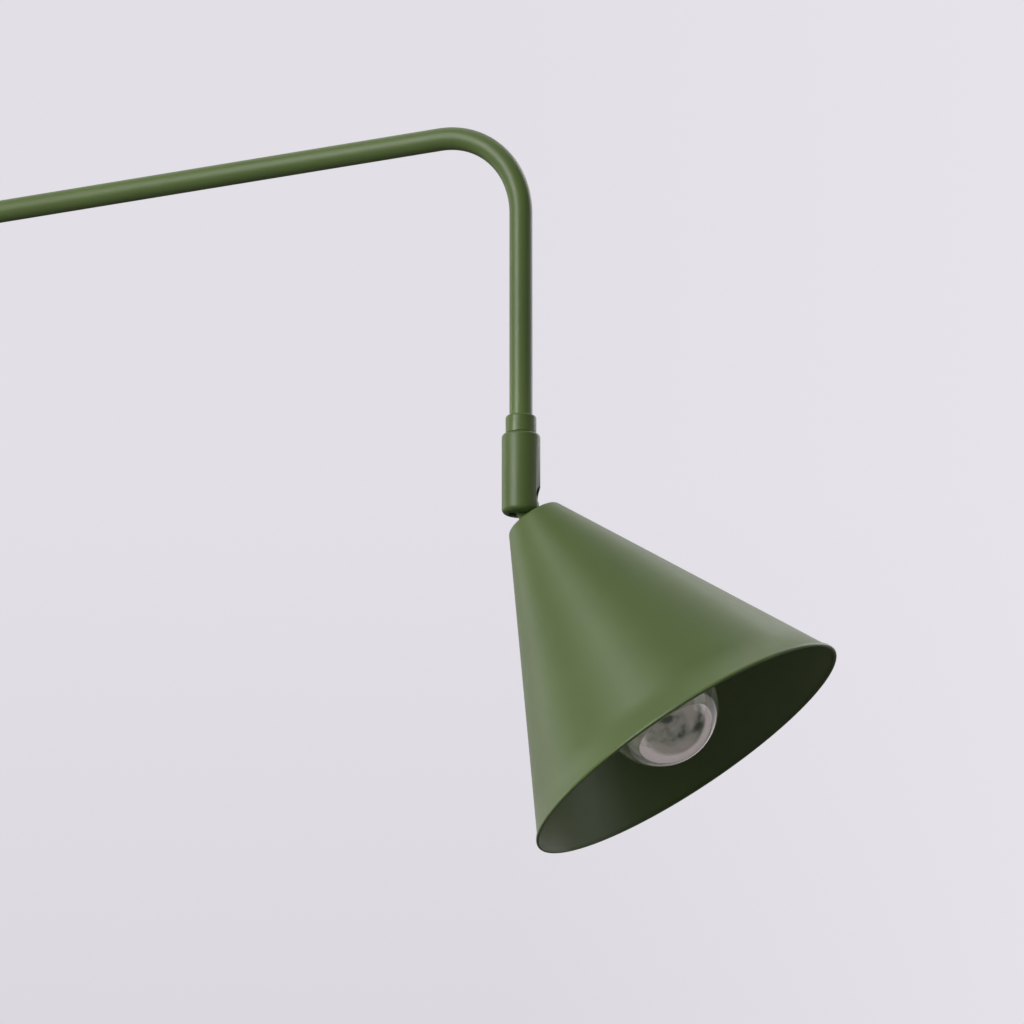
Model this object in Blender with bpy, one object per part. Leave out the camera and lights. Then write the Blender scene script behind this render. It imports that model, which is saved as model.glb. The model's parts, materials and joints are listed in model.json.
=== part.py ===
"""Adjustable arm floor lamp: weighted base, telescopic pole, swinging and tilting arm, swivelling cone shade.

Metres, +Z up. The origin is the centre of the base's underside and the arm points along +X at rest.
Each sub-part is one closed mesh object. Pieces that turn or slide are parented to an empty on their axis.
"""

import math

import bmesh
import bpy
from mathutils import Matrix, Vector

# ---------------------------------------------------------------- driving dimensions
GAP = 0.0003                      # space left between pieces that touch

BASE_RADIUS = 0.130
BASE_HEIGHT = 0.0200
BASE_SHEET = 0.0012
BASE_EDGE_RADIUS = 0.006
PAD_RADIUS = 0.1215
PAD_THICKNESS = 0.0020
WEIGHT_RADIUS = 0.1260
WEIGHT_TOP = BASE_HEIGHT - BASE_SHEET - GAP
RECESS_RADIUS = 0.0180
RECESS_DEPTH = 0.0090
CHANNEL_WIDTH = 0.0080

NIPPLE_RADIUS = 0.0050            # M10 x 1 threaded tube used at the base and at the shade
NIPPLE_BORE = 0.0035
THREAD_HOLE = NIPPLE_RADIUS + GAP
WIRE_RADIUS = 0.0015

POLE_RADIUS = 0.0095
POLE_WALL = 0.0012
POLE_TOP = 0.8600
LOCK_KNOB_RADIUS = 0.0095
LOCK_KNOB_LENGTH = 0.0105
STEM_RADIUS = 0.0070
STEM_WALL = 0.0012
STEM_BOTTOM = 0.5000
STEM_TOP = 1.4400

ARM_HEIGHT = 1.5000
ARM_REACH = 0.6000
ARM_RADIUS = 0.0060
ARM_WALL = 0.0010
BEND_RADIUS = 0.0480

HUB_RADIUS = 0.0110
HUB_CHEEK = 0.0100                # half width across the flats that the bolt and the knob bear on
HUB_CROWN = 0.0114                # fork's rounded top, from the tilt axis
HUB_FLOOR = 0.0200                # bottom of the fork's slot, below the tilt axis
FORK_SLOT = 0.0047                # half width between the fork's two ears
TONGUE_HALF = 0.0035
BOLT_RADIUS = 0.0030
KNOB_RADIUS = 0.0110
KNOB_LENGTH = 0.0120

DROP_LENGTH = 0.2033              # arm centreline down to the shade's tilt axis
SHADE_PIVOT = (ARM_REACH, 0.0, ARM_HEIGHT - DROP_LENGTH)
SLEEVE_RADIUS = 0.0100
SLEEVE_BORE = 0.0085
SLEEVE_TOP = 0.0355               # above the tilt axis
SLEEVE_BOTTOM = -0.0073           # below the tilt axis
SLEEVE_FLOOR = 0.0020
SLEEVE_ROOF = 0.0025
SLOT_HALF = 0.0031
KEYHOLE_RADIUS = 0.0055
KEYHOLE_HEIGHT = 0.0020
EYE_RADIUS = 0.0059
EYE_HALF = SLOT_HALF - 0.0004
COLLAR_RADIUS = 0.0080
COLLAR_TOP = 0.0453

SWIVEL_ANGLE = math.radians(24.2)  # shade's tilt direction, measured from the arm's
TILT_ANGLE = math.radians(32.5)    # shade axis from straight down

SHADE_CROWN = 0.0108              # shade's flat top, below the tilt axis along the shade's own axis
SHADE_RIM = 0.1592
SHADE_APEX = 0.0171               # where the cone would close, above the tilt axis
SHADE_SLOPE = math.tan(math.radians(27.33))
SHADE_SHEET = 0.0011
SHADE_SHOULDER = 0.0040

HOLDER_TOP = 0.0189
HOLDER_RADIUS = 0.0193
HOLDER_SEAM = 0.0460
HOLDER_END = 0.0820
CAP_END = 0.0570                  # bulb's centre contact
CAP_RADIUS = 0.0131
CAP_OPEN = 0.0835
GLOBE_RADIUS = 0.0306
GLOBE_CENTRE = 0.1320
GLASS_WALL = 0.0008

SEGMENTS_SMALL = 16
SEGMENTS_TUBE = 20
SEGMENTS_SHADE = 48
SEGMENTS_BASE = 48

# colour (linear RGB), roughness, metallic
FINISHES = {
    "green_powder_coat": ((0.118, 0.176, 0.070), 0.42, 0.0),
    "cast_iron": ((0.060, 0.060, 0.062), 0.75, 0.6),
    "black_rubber": ((0.020, 0.020, 0.020), 0.85, 0.0),
    "zinc_steel": ((0.520, 0.520, 0.530), 0.35, 1.0),
    "brass": ((0.720, 0.520, 0.210), 0.32, 1.0),
    "nylon": ((0.780, 0.770, 0.720), 0.55, 0.0),
    "black_phenolic": ((0.018, 0.018, 0.020), 0.40, 0.0),
    "porcelain": ((0.820, 0.810, 0.780), 0.28, 0.0),
    "nickel_cap": ((0.620, 0.600, 0.560), 0.30, 1.0),
    "bulb_glass": ((0.920, 0.930, 0.940), 0.03, 0.0),
    "filament": ((0.300, 0.290, 0.280), 0.40, 1.0),
    "wire_sheath": ((0.030, 0.030, 0.032), 0.55, 0.0),
}


# ---------------------------------------------------------------- modelling helpers
def clear_scene():
    for old in list(bpy.data.objects):
        bpy.data.objects.remove(old, do_unlink=True)


def finish_material(finish):
    material = bpy.data.materials.get(finish)
    if material is None:
        colour, roughness, metallic = FINISHES[finish]
        material = bpy.data.materials.new(finish)
        material.use_nodes = True
        shader = material.node_tree.nodes["Principled BSDF"]
        shader.inputs["Base Color"].default_value = (*colour, 1.0)
        shader.inputs["Roughness"].default_value = roughness
        shader.inputs["Metallic"].default_value = metallic
    return material


def add_empty(name, location, parent=None, rotation=(0.0, 0.0, 0.0)):
    empty = bpy.data.objects.new(name, None)
    bpy.context.collection.objects.link(empty)
    empty.location = location
    empty.rotation_euler = rotation
    empty.parent = parent
    return empty


def add_object(name, bm, finish, parent=None, location=(0.0, 0.0, 0.0), smooth_angle=35.0):
    bmesh.ops.recalc_face_normals(bm, faces=bm.faces)
    mesh = bpy.data.meshes.new(name)
    bm.to_mesh(mesh)
    bm.free()
    part = bpy.data.objects.new(name, mesh)
    bpy.context.collection.objects.link(part)
    part.location = location
    part.parent = parent
    if finish:
        mesh.materials.append(finish_material(finish))
        mesh.shade_smooth()
        mesh.set_sharp_from_angle(angle=math.radians(smooth_angle))
    return part


def turned(profile, segments=SEGMENTS_SMALL):
    """Solid of revolution about Z from a closed outline of (radius, height) points."""
    bm = bmesh.new()
    rings = []
    for radius, height in profile:
        if radius < 1e-7:
            rings.append([bm.verts.new((0.0, 0.0, height))])
            continue
        ring = []
        for step in range(segments):
            angle = math.tau * step / segments
            ring.append(bm.verts.new((radius * math.cos(angle), radius * math.sin(angle), height)))
        rings.append(ring)
    for lower, upper in zip(rings, rings[1:] + rings[:1]):
        if len(lower) == 1 and len(upper) == 1:
            continue
        for step in range(segments):
            following = (step + 1) % segments
            if len(lower) == 1:
                bm.faces.new((lower[0], upper[step], upper[following]))
            elif len(upper) == 1:
                bm.faces.new((lower[step], lower[following], upper[0]))
            else:
                bm.faces.new((lower[step], lower[following], upper[following], upper[step]))
    return bm


def ring_profile(inner, outer, low, high, edge=0.0, steps=3):
    """Outline of a plain ring or disc, with its outer edges rounded by `edge`."""
    outline = [(inner, low)]
    if edge > 0.0:
        outline += arc(outer - edge, low + edge, edge, -90.0, 0.0, steps)
        outline += arc(outer - edge, high - edge, edge, 0.0, 90.0, steps)
    else:
        outline += [(outer, low), (outer, high)]
    outline.append((inner, high))
    return outline


def arc(centre_radius, centre_height, radius, start_degrees, end_degrees, steps):
    points = []
    for step in range(steps + 1):
        angle = math.radians(start_degrees + (end_degrees - start_degrees) * step / steps)
        points.append((centre_radius + radius * math.cos(angle), centre_height + radius * math.sin(angle)))
    return points


def lay_along(bm, direction):
    """Turn a solid made about Z so that its axis runs along `direction`."""
    turn = Vector((0.0, 0.0, 1.0)).rotation_difference(Vector(direction)).to_matrix().to_4x4()
    bmesh.ops.transform(bm, matrix=turn, verts=bm.verts)
    return bm


def shifted(bm, offset):
    bmesh.ops.translate(bm, vec=Vector(offset), verts=bm.verts)
    return bm


def block(low, high):
    bm = bmesh.new()
    bmesh.ops.create_cube(bm, size=1.0)
    centre = (Vector(low) + Vector(high)) / 2
    size = Vector(high) - Vector(low)
    bmesh.ops.transform(bm, matrix=Matrix.Translation(centre) @ Matrix.Diagonal((*size, 1.0)), verts=bm.verts)
    return bm


def plate(outline, low_y, high_y):
    """Prism between two heights along Y from a closed outline of (x, z) points."""
    bm = bmesh.new()
    face = bm.faces.new([bm.verts.new((x, low_y, z)) for x, z in outline])
    grown = bmesh.ops.extrude_face_region(bm, geom=[face])
    moved = [item for item in grown["geom"] if isinstance(item, bmesh.types.BMVert)]
    bmesh.ops.translate(bm, vec=Vector((0.0, high_y - low_y, 0.0)), verts=moved)
    return bm


def swept(path, outer, inner, sides=SEGMENTS_TUBE):
    """Round tube along a list of points that lies in the XZ plane. `inner` of 0 gives a solid rod."""
    bm = bmesh.new()
    across = Vector((0.0, 1.0, 0.0))
    sections = []
    for index, point in enumerate(path):
        before = path[max(index - 1, 0)]
        after = path[min(index + 1, len(path) - 1)]
        along = (Vector(after) - Vector(before)).normalized()
        upright = along.cross(across).normalized()
        loops = []
        for radius in (outer, inner):
            if radius == 0.0:
                continue
            loop = []
            for step in range(sides):
                angle = math.tau * step / sides
                offset = across * (radius * math.cos(angle)) + upright * (radius * math.sin(angle))
                loop.append(bm.verts.new(Vector(point) + offset))
            loops.append(loop)
        sections.append(loops)
    for first, second in zip(sections, sections[1:]):
        for loop_a, loop_b in zip(first, second):
            for step in range(sides):
                following = (step + 1) % sides
                bm.faces.new((loop_a[step], loop_a[following], loop_b[following], loop_b[step]))
    for loops in (sections[0], sections[-1]):
        if len(loops) == 1:
            bm.faces.new(loops[0])
            continue
        for step in range(sides):
            following = (step + 1) % sides
            bm.faces.new((loops[0][step], loops[0][following], loops[1][following], loops[1][step]))
    return bm


def wire(name, points, parent, radius=WIRE_RADIUS, finish="wire_sheath", sides_resolution=2):
    """A length of flex along a smooth curve through `points`."""
    smooth = smooth_route(points, spacing=radius * 6)
    curve = bpy.data.curves.new(name, "CURVE")
    curve.dimensions = "3D"
    curve.bevel_depth = radius
    curve.bevel_resolution = sides_resolution
    curve.use_fill_caps = True
    spline = curve.splines.new("POLY")
    spline.points.add(len(smooth) - 1)
    for target, point in zip(spline.points, smooth):
        target.co = (*point, 1.0)
    curve.materials.append(finish_material(finish))
    part = bpy.data.objects.new(name, curve)
    bpy.context.collection.objects.link(part)
    part.parent = parent
    return part


def smooth_route(points, spacing):
    """Catmull-Rom curve through the route's points; straight runs get few points."""
    route = [Vector(point) for point in points]
    padded = [2 * route[0] - route[1]] + route + [2 * route[-1] - route[-2]]
    result = [route[0]]
    for index in range(1, len(padded) - 2):
        p0, p1, p2, p3 = padded[index - 1:index + 3]
        bend = (p1 - p0).angle(p2 - p1) + (p2 - p1).angle(p3 - p2)
        pieces = 1 if bend < 0.02 else max(1, min(6, round((p2 - p1).length / spacing)))
        for step in range(1, pieces + 1):
            t = step / pieces
            result.append(0.5 * (2 * p1 + (p2 - p0) * t + (2 * p0 - 5 * p1 + 4 * p2 - p3) * t * t
                                 + (3 * p1 - p0 - 3 * p2 + p3) * t ** 3))
    return result


def combine(part, form_name, bm, operation):
    """Boolean of a part with a closed shape in the part's own coordinates, kept as a hidden guide."""
    form = add_object(form_name, bm, None, parent=part)
    form.hide_render = True
    form.display_type = "WIRE"
    modifier = part.modifiers.new(form_name, "BOOLEAN")
    modifier.operation = operation
    modifier.solver = "EXACT"
    modifier.object = form


def cut(part, cutter_name, bm):
    combine(part, cutter_name, bm, "DIFFERENCE")


def rod(radius, low, high, direction=(0.0, 0.0, 1.0), segments=SEGMENTS_SMALL, offset=(0.0, 0.0, 0.0)):
    """Plain cylinder along `direction`, from `low` to `high`, about a line through `offset`."""
    bm = bmesh.new()
    depth = high - low
    bmesh.ops.create_cone(bm, cap_ends=True, segments=segments, radius1=radius, radius2=radius, depth=depth)
    shifted(bm, (0.0, 0.0, (low + high) / 2))
    return shifted(lay_along(bm, direction), offset)


def hex_nut(name, across_flats, bore, low, high, finish, parent):
    corner = across_flats / math.sqrt(3.0)
    nut = add_object(name, rod(corner, low, high, segments=6), finish, parent, smooth_angle=20.0)
    cut(nut, name + "_bore", rod(bore, low - 0.001, high + 0.001))
    return nut


# ---------------------------------------------------------------- base
def build_base():
    outline = [(0.0, 0.0), (PAD_RADIUS, 0.0), (PAD_RADIUS, PAD_THICKNESS), (0.0, PAD_THICKNESS)]
    add_object("base_pad", turned(outline, SEGMENTS_BASE), "black_rubber")

    weight_bottom = PAD_THICKNESS + GAP
    weight_edge = 0.003
    recess_roof = weight_bottom + RECESS_DEPTH
    outline = [(THREAD_HOLE, recess_roof), (RECESS_RADIUS, recess_roof), (RECESS_RADIUS, weight_bottom)]
    outline += [(WEIGHT_RADIUS, weight_bottom)]
    outline += arc(WEIGHT_RADIUS - weight_edge, WEIGHT_TOP - weight_edge, weight_edge, 0.0, 90.0, 2)
    outline += [(THREAD_HOLE, WEIGHT_TOP)]
    weight = add_object("base_weight", turned(outline, SEGMENTS_BASE), "cast_iron")
    channel_half = CHANNEL_WIDTH / 2
    channel_roof = weight_bottom + 0.0080
    channel = block((-0.2, -channel_half, -0.01), (-0.010, channel_half, channel_roof))
    cut(weight, "weight_channel", channel)

    bottom = 0.0010
    inner = BASE_RADIUS - BASE_SHEET
    outline = [(THREAD_HOLE, BASE_HEIGHT - BASE_SHEET)]
    edge_centre = (BASE_RADIUS - BASE_EDGE_RADIUS, BASE_HEIGHT - BASE_EDGE_RADIUS)
    inside = arc(*edge_centre, BASE_EDGE_RADIUS - BASE_SHEET, 90.0, 0.0, 4)
    outside = arc(*edge_centre, BASE_EDGE_RADIUS, 0.0, 90.0, 4)
    outline += inside + [(inner, bottom), (BASE_RADIUS, bottom)] + outside + [(THREAD_HOLE, BASE_HEIGHT)]
    cover = add_object("base_cover", turned(outline, SEGMENTS_BASE), "green_powder_coat")
    gland_height = 0.0066
    gland_radius = 0.0042
    cut(cover, "cover_gland_hole",
        rod(gland_radius + GAP, -0.140, -0.120, (1.0, 0.0, 0.0), offset=(0.0, 0.0, gland_height)))

    # snap-in cord gland: two flanges either side of the cover's skirt
    bore = 0.0028
    flange = gland_radius + 0.0012
    skirt_in = BASE_RADIUS * math.cos(math.pi / SEGMENTS_BASE) - BASE_SHEET - 2 * GAP - 0.0002
    skirt_out = BASE_RADIUS + GAP
    gland_end = skirt_out + 0.0034
    outline = [(bore, skirt_in - 0.0008), (gland_radius + 0.0003, skirt_in - 0.0008)]
    outline += [(gland_radius, skirt_in), (gland_radius, skirt_out)]
    outline += [(flange, skirt_out), (flange - 0.0004, skirt_out + 0.0018)]
    outline += [(bore + 0.0006, gland_end), (bore, gland_end)]
    gland = shifted(lay_along(turned(outline), (-1.0, 0.0, 0.0)), (0.0, 0.0, gland_height))
    add_object("cord_gland", gland, "black_rubber")

    washer_top = recess_roof - GAP
    washer_bottom = washer_top - 0.0012
    washer = ring_profile(THREAD_HOLE, 0.0110, washer_bottom, washer_top)
    add_object("base_washer", turned(washer), "zinc_steel")
    nut_top = washer_bottom - GAP
    nut_bottom = nut_top - 0.0030
    hex_nut("base_nut", 0.0170, THREAD_HOLE, nut_bottom, nut_top, "zinc_steel", None)

    nipple_top = BASE_HEIGHT + 0.0260
    nipple = ring_profile(NIPPLE_BORE, NIPPLE_RADIUS, nut_bottom - GAP, nipple_top)
    add_object("base_nipple", turned(nipple), "zinc_steel")

    foot_low = BASE_HEIGHT + GAP
    foot_high = foot_low + 0.0140
    foot_radius = 0.0175
    outline = [(POLE_RADIUS + GAP, foot_low), (foot_radius, foot_low), (foot_radius, foot_low + 0.0020)]
    outline += arc(foot_radius, foot_high, 0.0070, -105.0, -172.0, 4)
    outline += [(POLE_RADIUS + GAP, foot_high)]
    add_object("pole_foot_ring", turned(outline, SEGMENTS_TUBE), "green_powder_coat")

    plug_low = BASE_HEIGHT + 2 * GAP
    plug_radius = POLE_RADIUS - POLE_WALL - GAP
    plug = ring_profile(THREAD_HOLE, plug_radius, plug_low, plug_low + 0.0200, 0.0004, 1)
    add_object("pole_plug", turned(plug), "zinc_steel")

    route = [(-BASE_RADIUS - 0.0030, 0.0, gland_height), (-0.1100, 0.0, gland_height),
             (-0.0300, 0.0, gland_height), (-0.0150, 0.0, 0.0046), (-0.0080, 0.0, 0.0041),
             (-0.0035, 0.0, 0.0041), (-0.0006, 0.0, 0.0062), (0.0, 0.0, 0.0110), (0.0, 0.0, 0.0300),
             (0.0, 0.0, 0.2400)]
    wire("base_wire", route, None)


# ---------------------------------------------------------------- pole and its height lock
def build_pole():
    pole = ring_profile(POLE_RADIUS - POLE_WALL, POLE_RADIUS, BASE_HEIGHT + GAP, POLE_TOP)
    add_object("pole_outer", turned(pole, SEGMENTS_TUBE), "green_powder_coat")

    bush_high = POLE_TOP - GAP
    bush = ring_profile(STEM_RADIUS + GAP, POLE_RADIUS - POLE_WALL - GAP, bush_high - 0.0400, bush_high)
    add_object("guide_bush", turned(bush, SEGMENTS_TUBE), "nylon")

    collar_low = POLE_TOP - 0.0140
    collar_high = POLE_TOP + 0.0180
    collar_radius = 0.0140
    edge = 0.0012
    step = POLE_TOP + GAP
    outline = [(POLE_RADIUS + GAP, collar_low)]
    outline += arc(collar_radius - edge, collar_low + edge, edge, -90.0, 0.0, 3)
    outline += arc(collar_radius - edge, collar_high - edge, edge, 0.0, 90.0, 3)
    outline += [(STEM_RADIUS + GAP, collar_high), (STEM_RADIUS + GAP, step), (POLE_RADIUS + GAP, step)]
    collar = add_object("lock_collar", turned(outline, SEGMENTS_TUBE), "green_powder_coat")
    screw_height = POLE_TOP + 0.0090
    screw_radius = 0.0025
    cut(collar, "lock_collar_thread",
        rod(screw_radius + GAP, -0.020, 0.0, (0.0, 1.0, 0.0), offset=(0.0, 0.0, screw_height)))

    # thumb screw: a steel stud moulded into a round knob, on the side away from +Y
    axis = add_empty("lock_knob_axis", (0.0, 0.0, screw_height))
    screw_tip = STEM_RADIUS + GAP
    knob_face = collar_radius + 0.0022
    stud_end = knob_face + 0.0085
    add_object("lock_screw", rod(screw_radius, screw_tip, stud_end, (0.0, -1.0, 0.0), 12), "zinc_steel", axis)
    knob_shape = thumb_knob(knob_face, screw_radius, LOCK_KNOB_RADIUS, LOCK_KNOB_LENGTH)
    knob = add_object("lock_knob", knob_shape, "green_powder_coat", axis)
    knob.rotation_euler = (math.radians(90.0), 0.0, 0.0)


def thumb_knob(face, stud_radius, radius, length):
    """Round knob about Z with a blind hole for its stud, a slim neck and a crowned outer end."""
    hole = stud_radius + GAP
    neck = radius * 0.62
    hole_end = face + length * 0.82 + GAP
    outline = [(hole, face), (neck, face), (neck, face + length * 0.22), (radius, face + length * 0.32)]
    outline += arc(radius - 0.0012, face + length - 0.0016, 0.0012, 0.0, 60.0, 2)
    outline += [(0.0, face + length), (0.0, hole_end), (hole, hole_end)]
    return turned(outline, SEGMENTS_TUBE)


# ---------------------------------------------------------------- sliding stem
def build_stem():
    axis = add_empty("height_slide_axis", (0.0, 0.0, STEM_BOTTOM))
    length = STEM_TOP - STEM_BOTTOM
    inner = STEM_RADIUS - STEM_WALL
    add_object("pole_inner", turned(ring_profile(inner, STEM_RADIUS, 0.0, length), SEGMENTS_TUBE),
               "green_powder_coat", axis)
    bush = ring_profile(STEM_RADIUS + GAP, POLE_RADIUS - POLE_WALL - GAP, 0.0020, 0.0240)
    add_object("slide_bush", turned(bush, SEGMENTS_TUBE), "nylon", axis)

    # head spigot: plug in the stem, shoulder, then the post that the arm swings on
    flange_low = length + GAP
    flange_high = flange_low + 0.0050
    groove_low = flange_high + 0.0140
    groove_high = groove_low + 0.0044
    post_high = flange_high + 0.0330
    outline = [(NIPPLE_BORE, length - 0.0300), (inner - GAP, length - 0.0300), (inner - GAP, flange_low),
               (0.0088, flange_low), (0.0088, flange_high), (NIPPLE_RADIUS, flange_high),
               (NIPPLE_RADIUS, post_high - 0.0005), (NIPPLE_RADIUS - 0.0005, post_high),
               (NIPPLE_BORE, post_high)]
    head = add_object("pole_head", turned(outline), "zinc_steel", axis)
    groove = spun_block(0.0042, 0.0070, groove_low, groove_high, 6.0, 354.0)
    cut(head, "swing_stop_groove", groove)

    route = [(0.0, 0.0, 0.004), (0.0, 0.0, length * 0.5), (0.0, 0.0, post_high + 0.0010)]
    wire("stem_wire", route, axis)


def spun_block(inner, outer, low, high, start_degrees, end_degrees):
    """Part of a ring about Z between two angles, closed at both ends."""
    bm = bmesh.new()
    corners = [bm.verts.new(point) for point in
               ((inner, 0.0, low), (outer, 0.0, low), (outer, 0.0, high), (inner, 0.0, high))]
    start = bm.faces.new(corners)
    bmesh.ops.rotate(bm, verts=bm.verts, cent=(0.0, 0.0, 0.0),
                     matrix=Matrix.Rotation(math.radians(start_degrees), 3, "Z"))
    sweep = end_degrees - start_degrees
    bmesh.ops.spin(bm, geom=[start, *start.edges, *start.verts], cent=(0.0, 0.0, 0.0), axis=(0.0, 0.0, 1.0),
                   angle=math.radians(sweep), steps=round(sweep / 15.0))
    return bm


# ---------------------------------------------------------------- swinging hub at the pole's top
def build_hub():
    axis = add_empty("arm_swing_axis", (0.0, 0.0, ARM_HEIGHT))
    washer_low = STEM_TOP + GAP + 0.0050 + GAP - ARM_HEIGHT
    washer_high = washer_low + 0.0006
    washer = ring_profile(THREAD_HOLE, 0.0095, washer_low, washer_high)
    add_object("swing_washer", turned(washer), "nylon", axis)

    hub_low = washer_high + GAP
    barrel = rod(HUB_RADIUS, hub_low, HUB_CROWN + 0.002, segments=28)
    hub = add_object("swing_hub", barrel, "green_powder_coat", axis)
    combine(hub, "hub_fork_form", hub_fork_form(hub_low), "INTERSECT")
    cut(hub, "hub_fork_slot", block((-0.02, -FORK_SLOT, -HUB_FLOOR), (0.02, FORK_SLOT, 0.02)))
    cut(hub, "hub_post_bore", rod(THREAD_HOLE, hub_low - 0.01, -HUB_FLOOR + 0.001))
    cut(hub, "hub_bolt_hole", rod(BOLT_RADIUS + GAP, -0.02, 0.02, (0.0, 1.0, 0.0)))
    grub_height = STEM_TOP + GAP + 0.0050 + 0.0140 + 0.0022 - ARM_HEIGHT
    grub_radius = 0.0018
    grub_centre = (0.0, 0.0, grub_height)
    cut(hub, "hub_grub_hole", rod(grub_radius + GAP, 0.004, 0.02, (-1.0, 0.0, 0.0), 12, grub_centre))
    grub = rod(grub_radius, 0.0046, 0.0104, (-1.0, 0.0, 0.0), 12, grub_centre)
    add_object("swing_stop_screw", grub, "zinc_steel", axis)

    # cross bolt with a low round head on the -Y side
    head_face = -(HUB_CHEEK + GAP)
    bolt_end = HUB_CHEEK + 0.0105
    outline = [(0.0, head_face - 0.0032)]
    outline += [(0.0046, head_face - 0.0032), (0.0056, head_face - 0.0022), (0.0056, head_face)]
    outline += [(BOLT_RADIUS, head_face), (BOLT_RADIUS, bolt_end), (0.0, bolt_end)]
    add_object("tilt_bolt", lay_along(turned(outline), (0.0, 1.0, 0.0)), "green_powder_coat", axis)
    for side, name in ((1.0, "friction_washer_left"), (-1.0, "friction_washer_right")):
        near = TONGUE_HALF + GAP
        far = FORK_SLOT - GAP
        washer = ring_profile(BOLT_RADIUS + GAP, 0.0100, min(near, far), max(near, far))
        add_object(name, lay_along(turned(washer), (0.0, side, 0.0)), "nylon", axis)
    near = HUB_CHEEK + GAP
    outline = ring_profile(BOLT_RADIUS + GAP, 0.0064, near, near + 0.0008)
    add_object("tilt_washer", lay_along(turned(outline), (0.0, 1.0, 0.0)), "zinc_steel", axis)

    knob_axis = add_empty("tilt_knob_axis", (0.0, 0.0, 0.0), axis)
    knob = thumb_knob(near + 0.0008 + GAP, BOLT_RADIUS, KNOB_RADIUS, KNOB_LENGTH)
    knob_object = add_object("tilt_knob", knob, "green_powder_coat", knob_axis)
    knob_object.rotation_euler = (math.radians(-90.0), 0.0, 0.0)


def hub_fork_form(hub_low):
    """Block that trims the round barrel to two flat cheeks and a top rounded about the tilt axis."""
    outline = [(HUB_CROWN * math.cos(math.radians(180.0 * step / 12)),
                HUB_CROWN * math.sin(math.radians(180.0 * step / 12))) for step in range(13)]
    outline += [(-HUB_CROWN, hub_low - 0.001), (HUB_CROWN, hub_low - 0.001)]
    return plate(outline, -HUB_CHEEK, HUB_CHEEK)


# ---------------------------------------------------------------- arm
def arm_route():
    """Arm centreline from its socket, round the bend and down the drop, about the tilt pivot."""
    route = [Vector((0.0290, 0.0, 0.0)), Vector((ARM_REACH * 0.5, 0.0, 0.0))]
    steps = 12
    for step in range(steps + 1):
        angle = math.radians(90.0 * (1.0 - step / steps))
        route.append(Vector((ARM_REACH - BEND_RADIUS + BEND_RADIUS * math.cos(angle), 0.0,
                             -BEND_RADIUS + BEND_RADIUS * math.sin(angle))))
    route.append(Vector((ARM_REACH, 0.0, -DROP_LENGTH + SLEEVE_TOP + 3 * GAP)))
    return route


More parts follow.
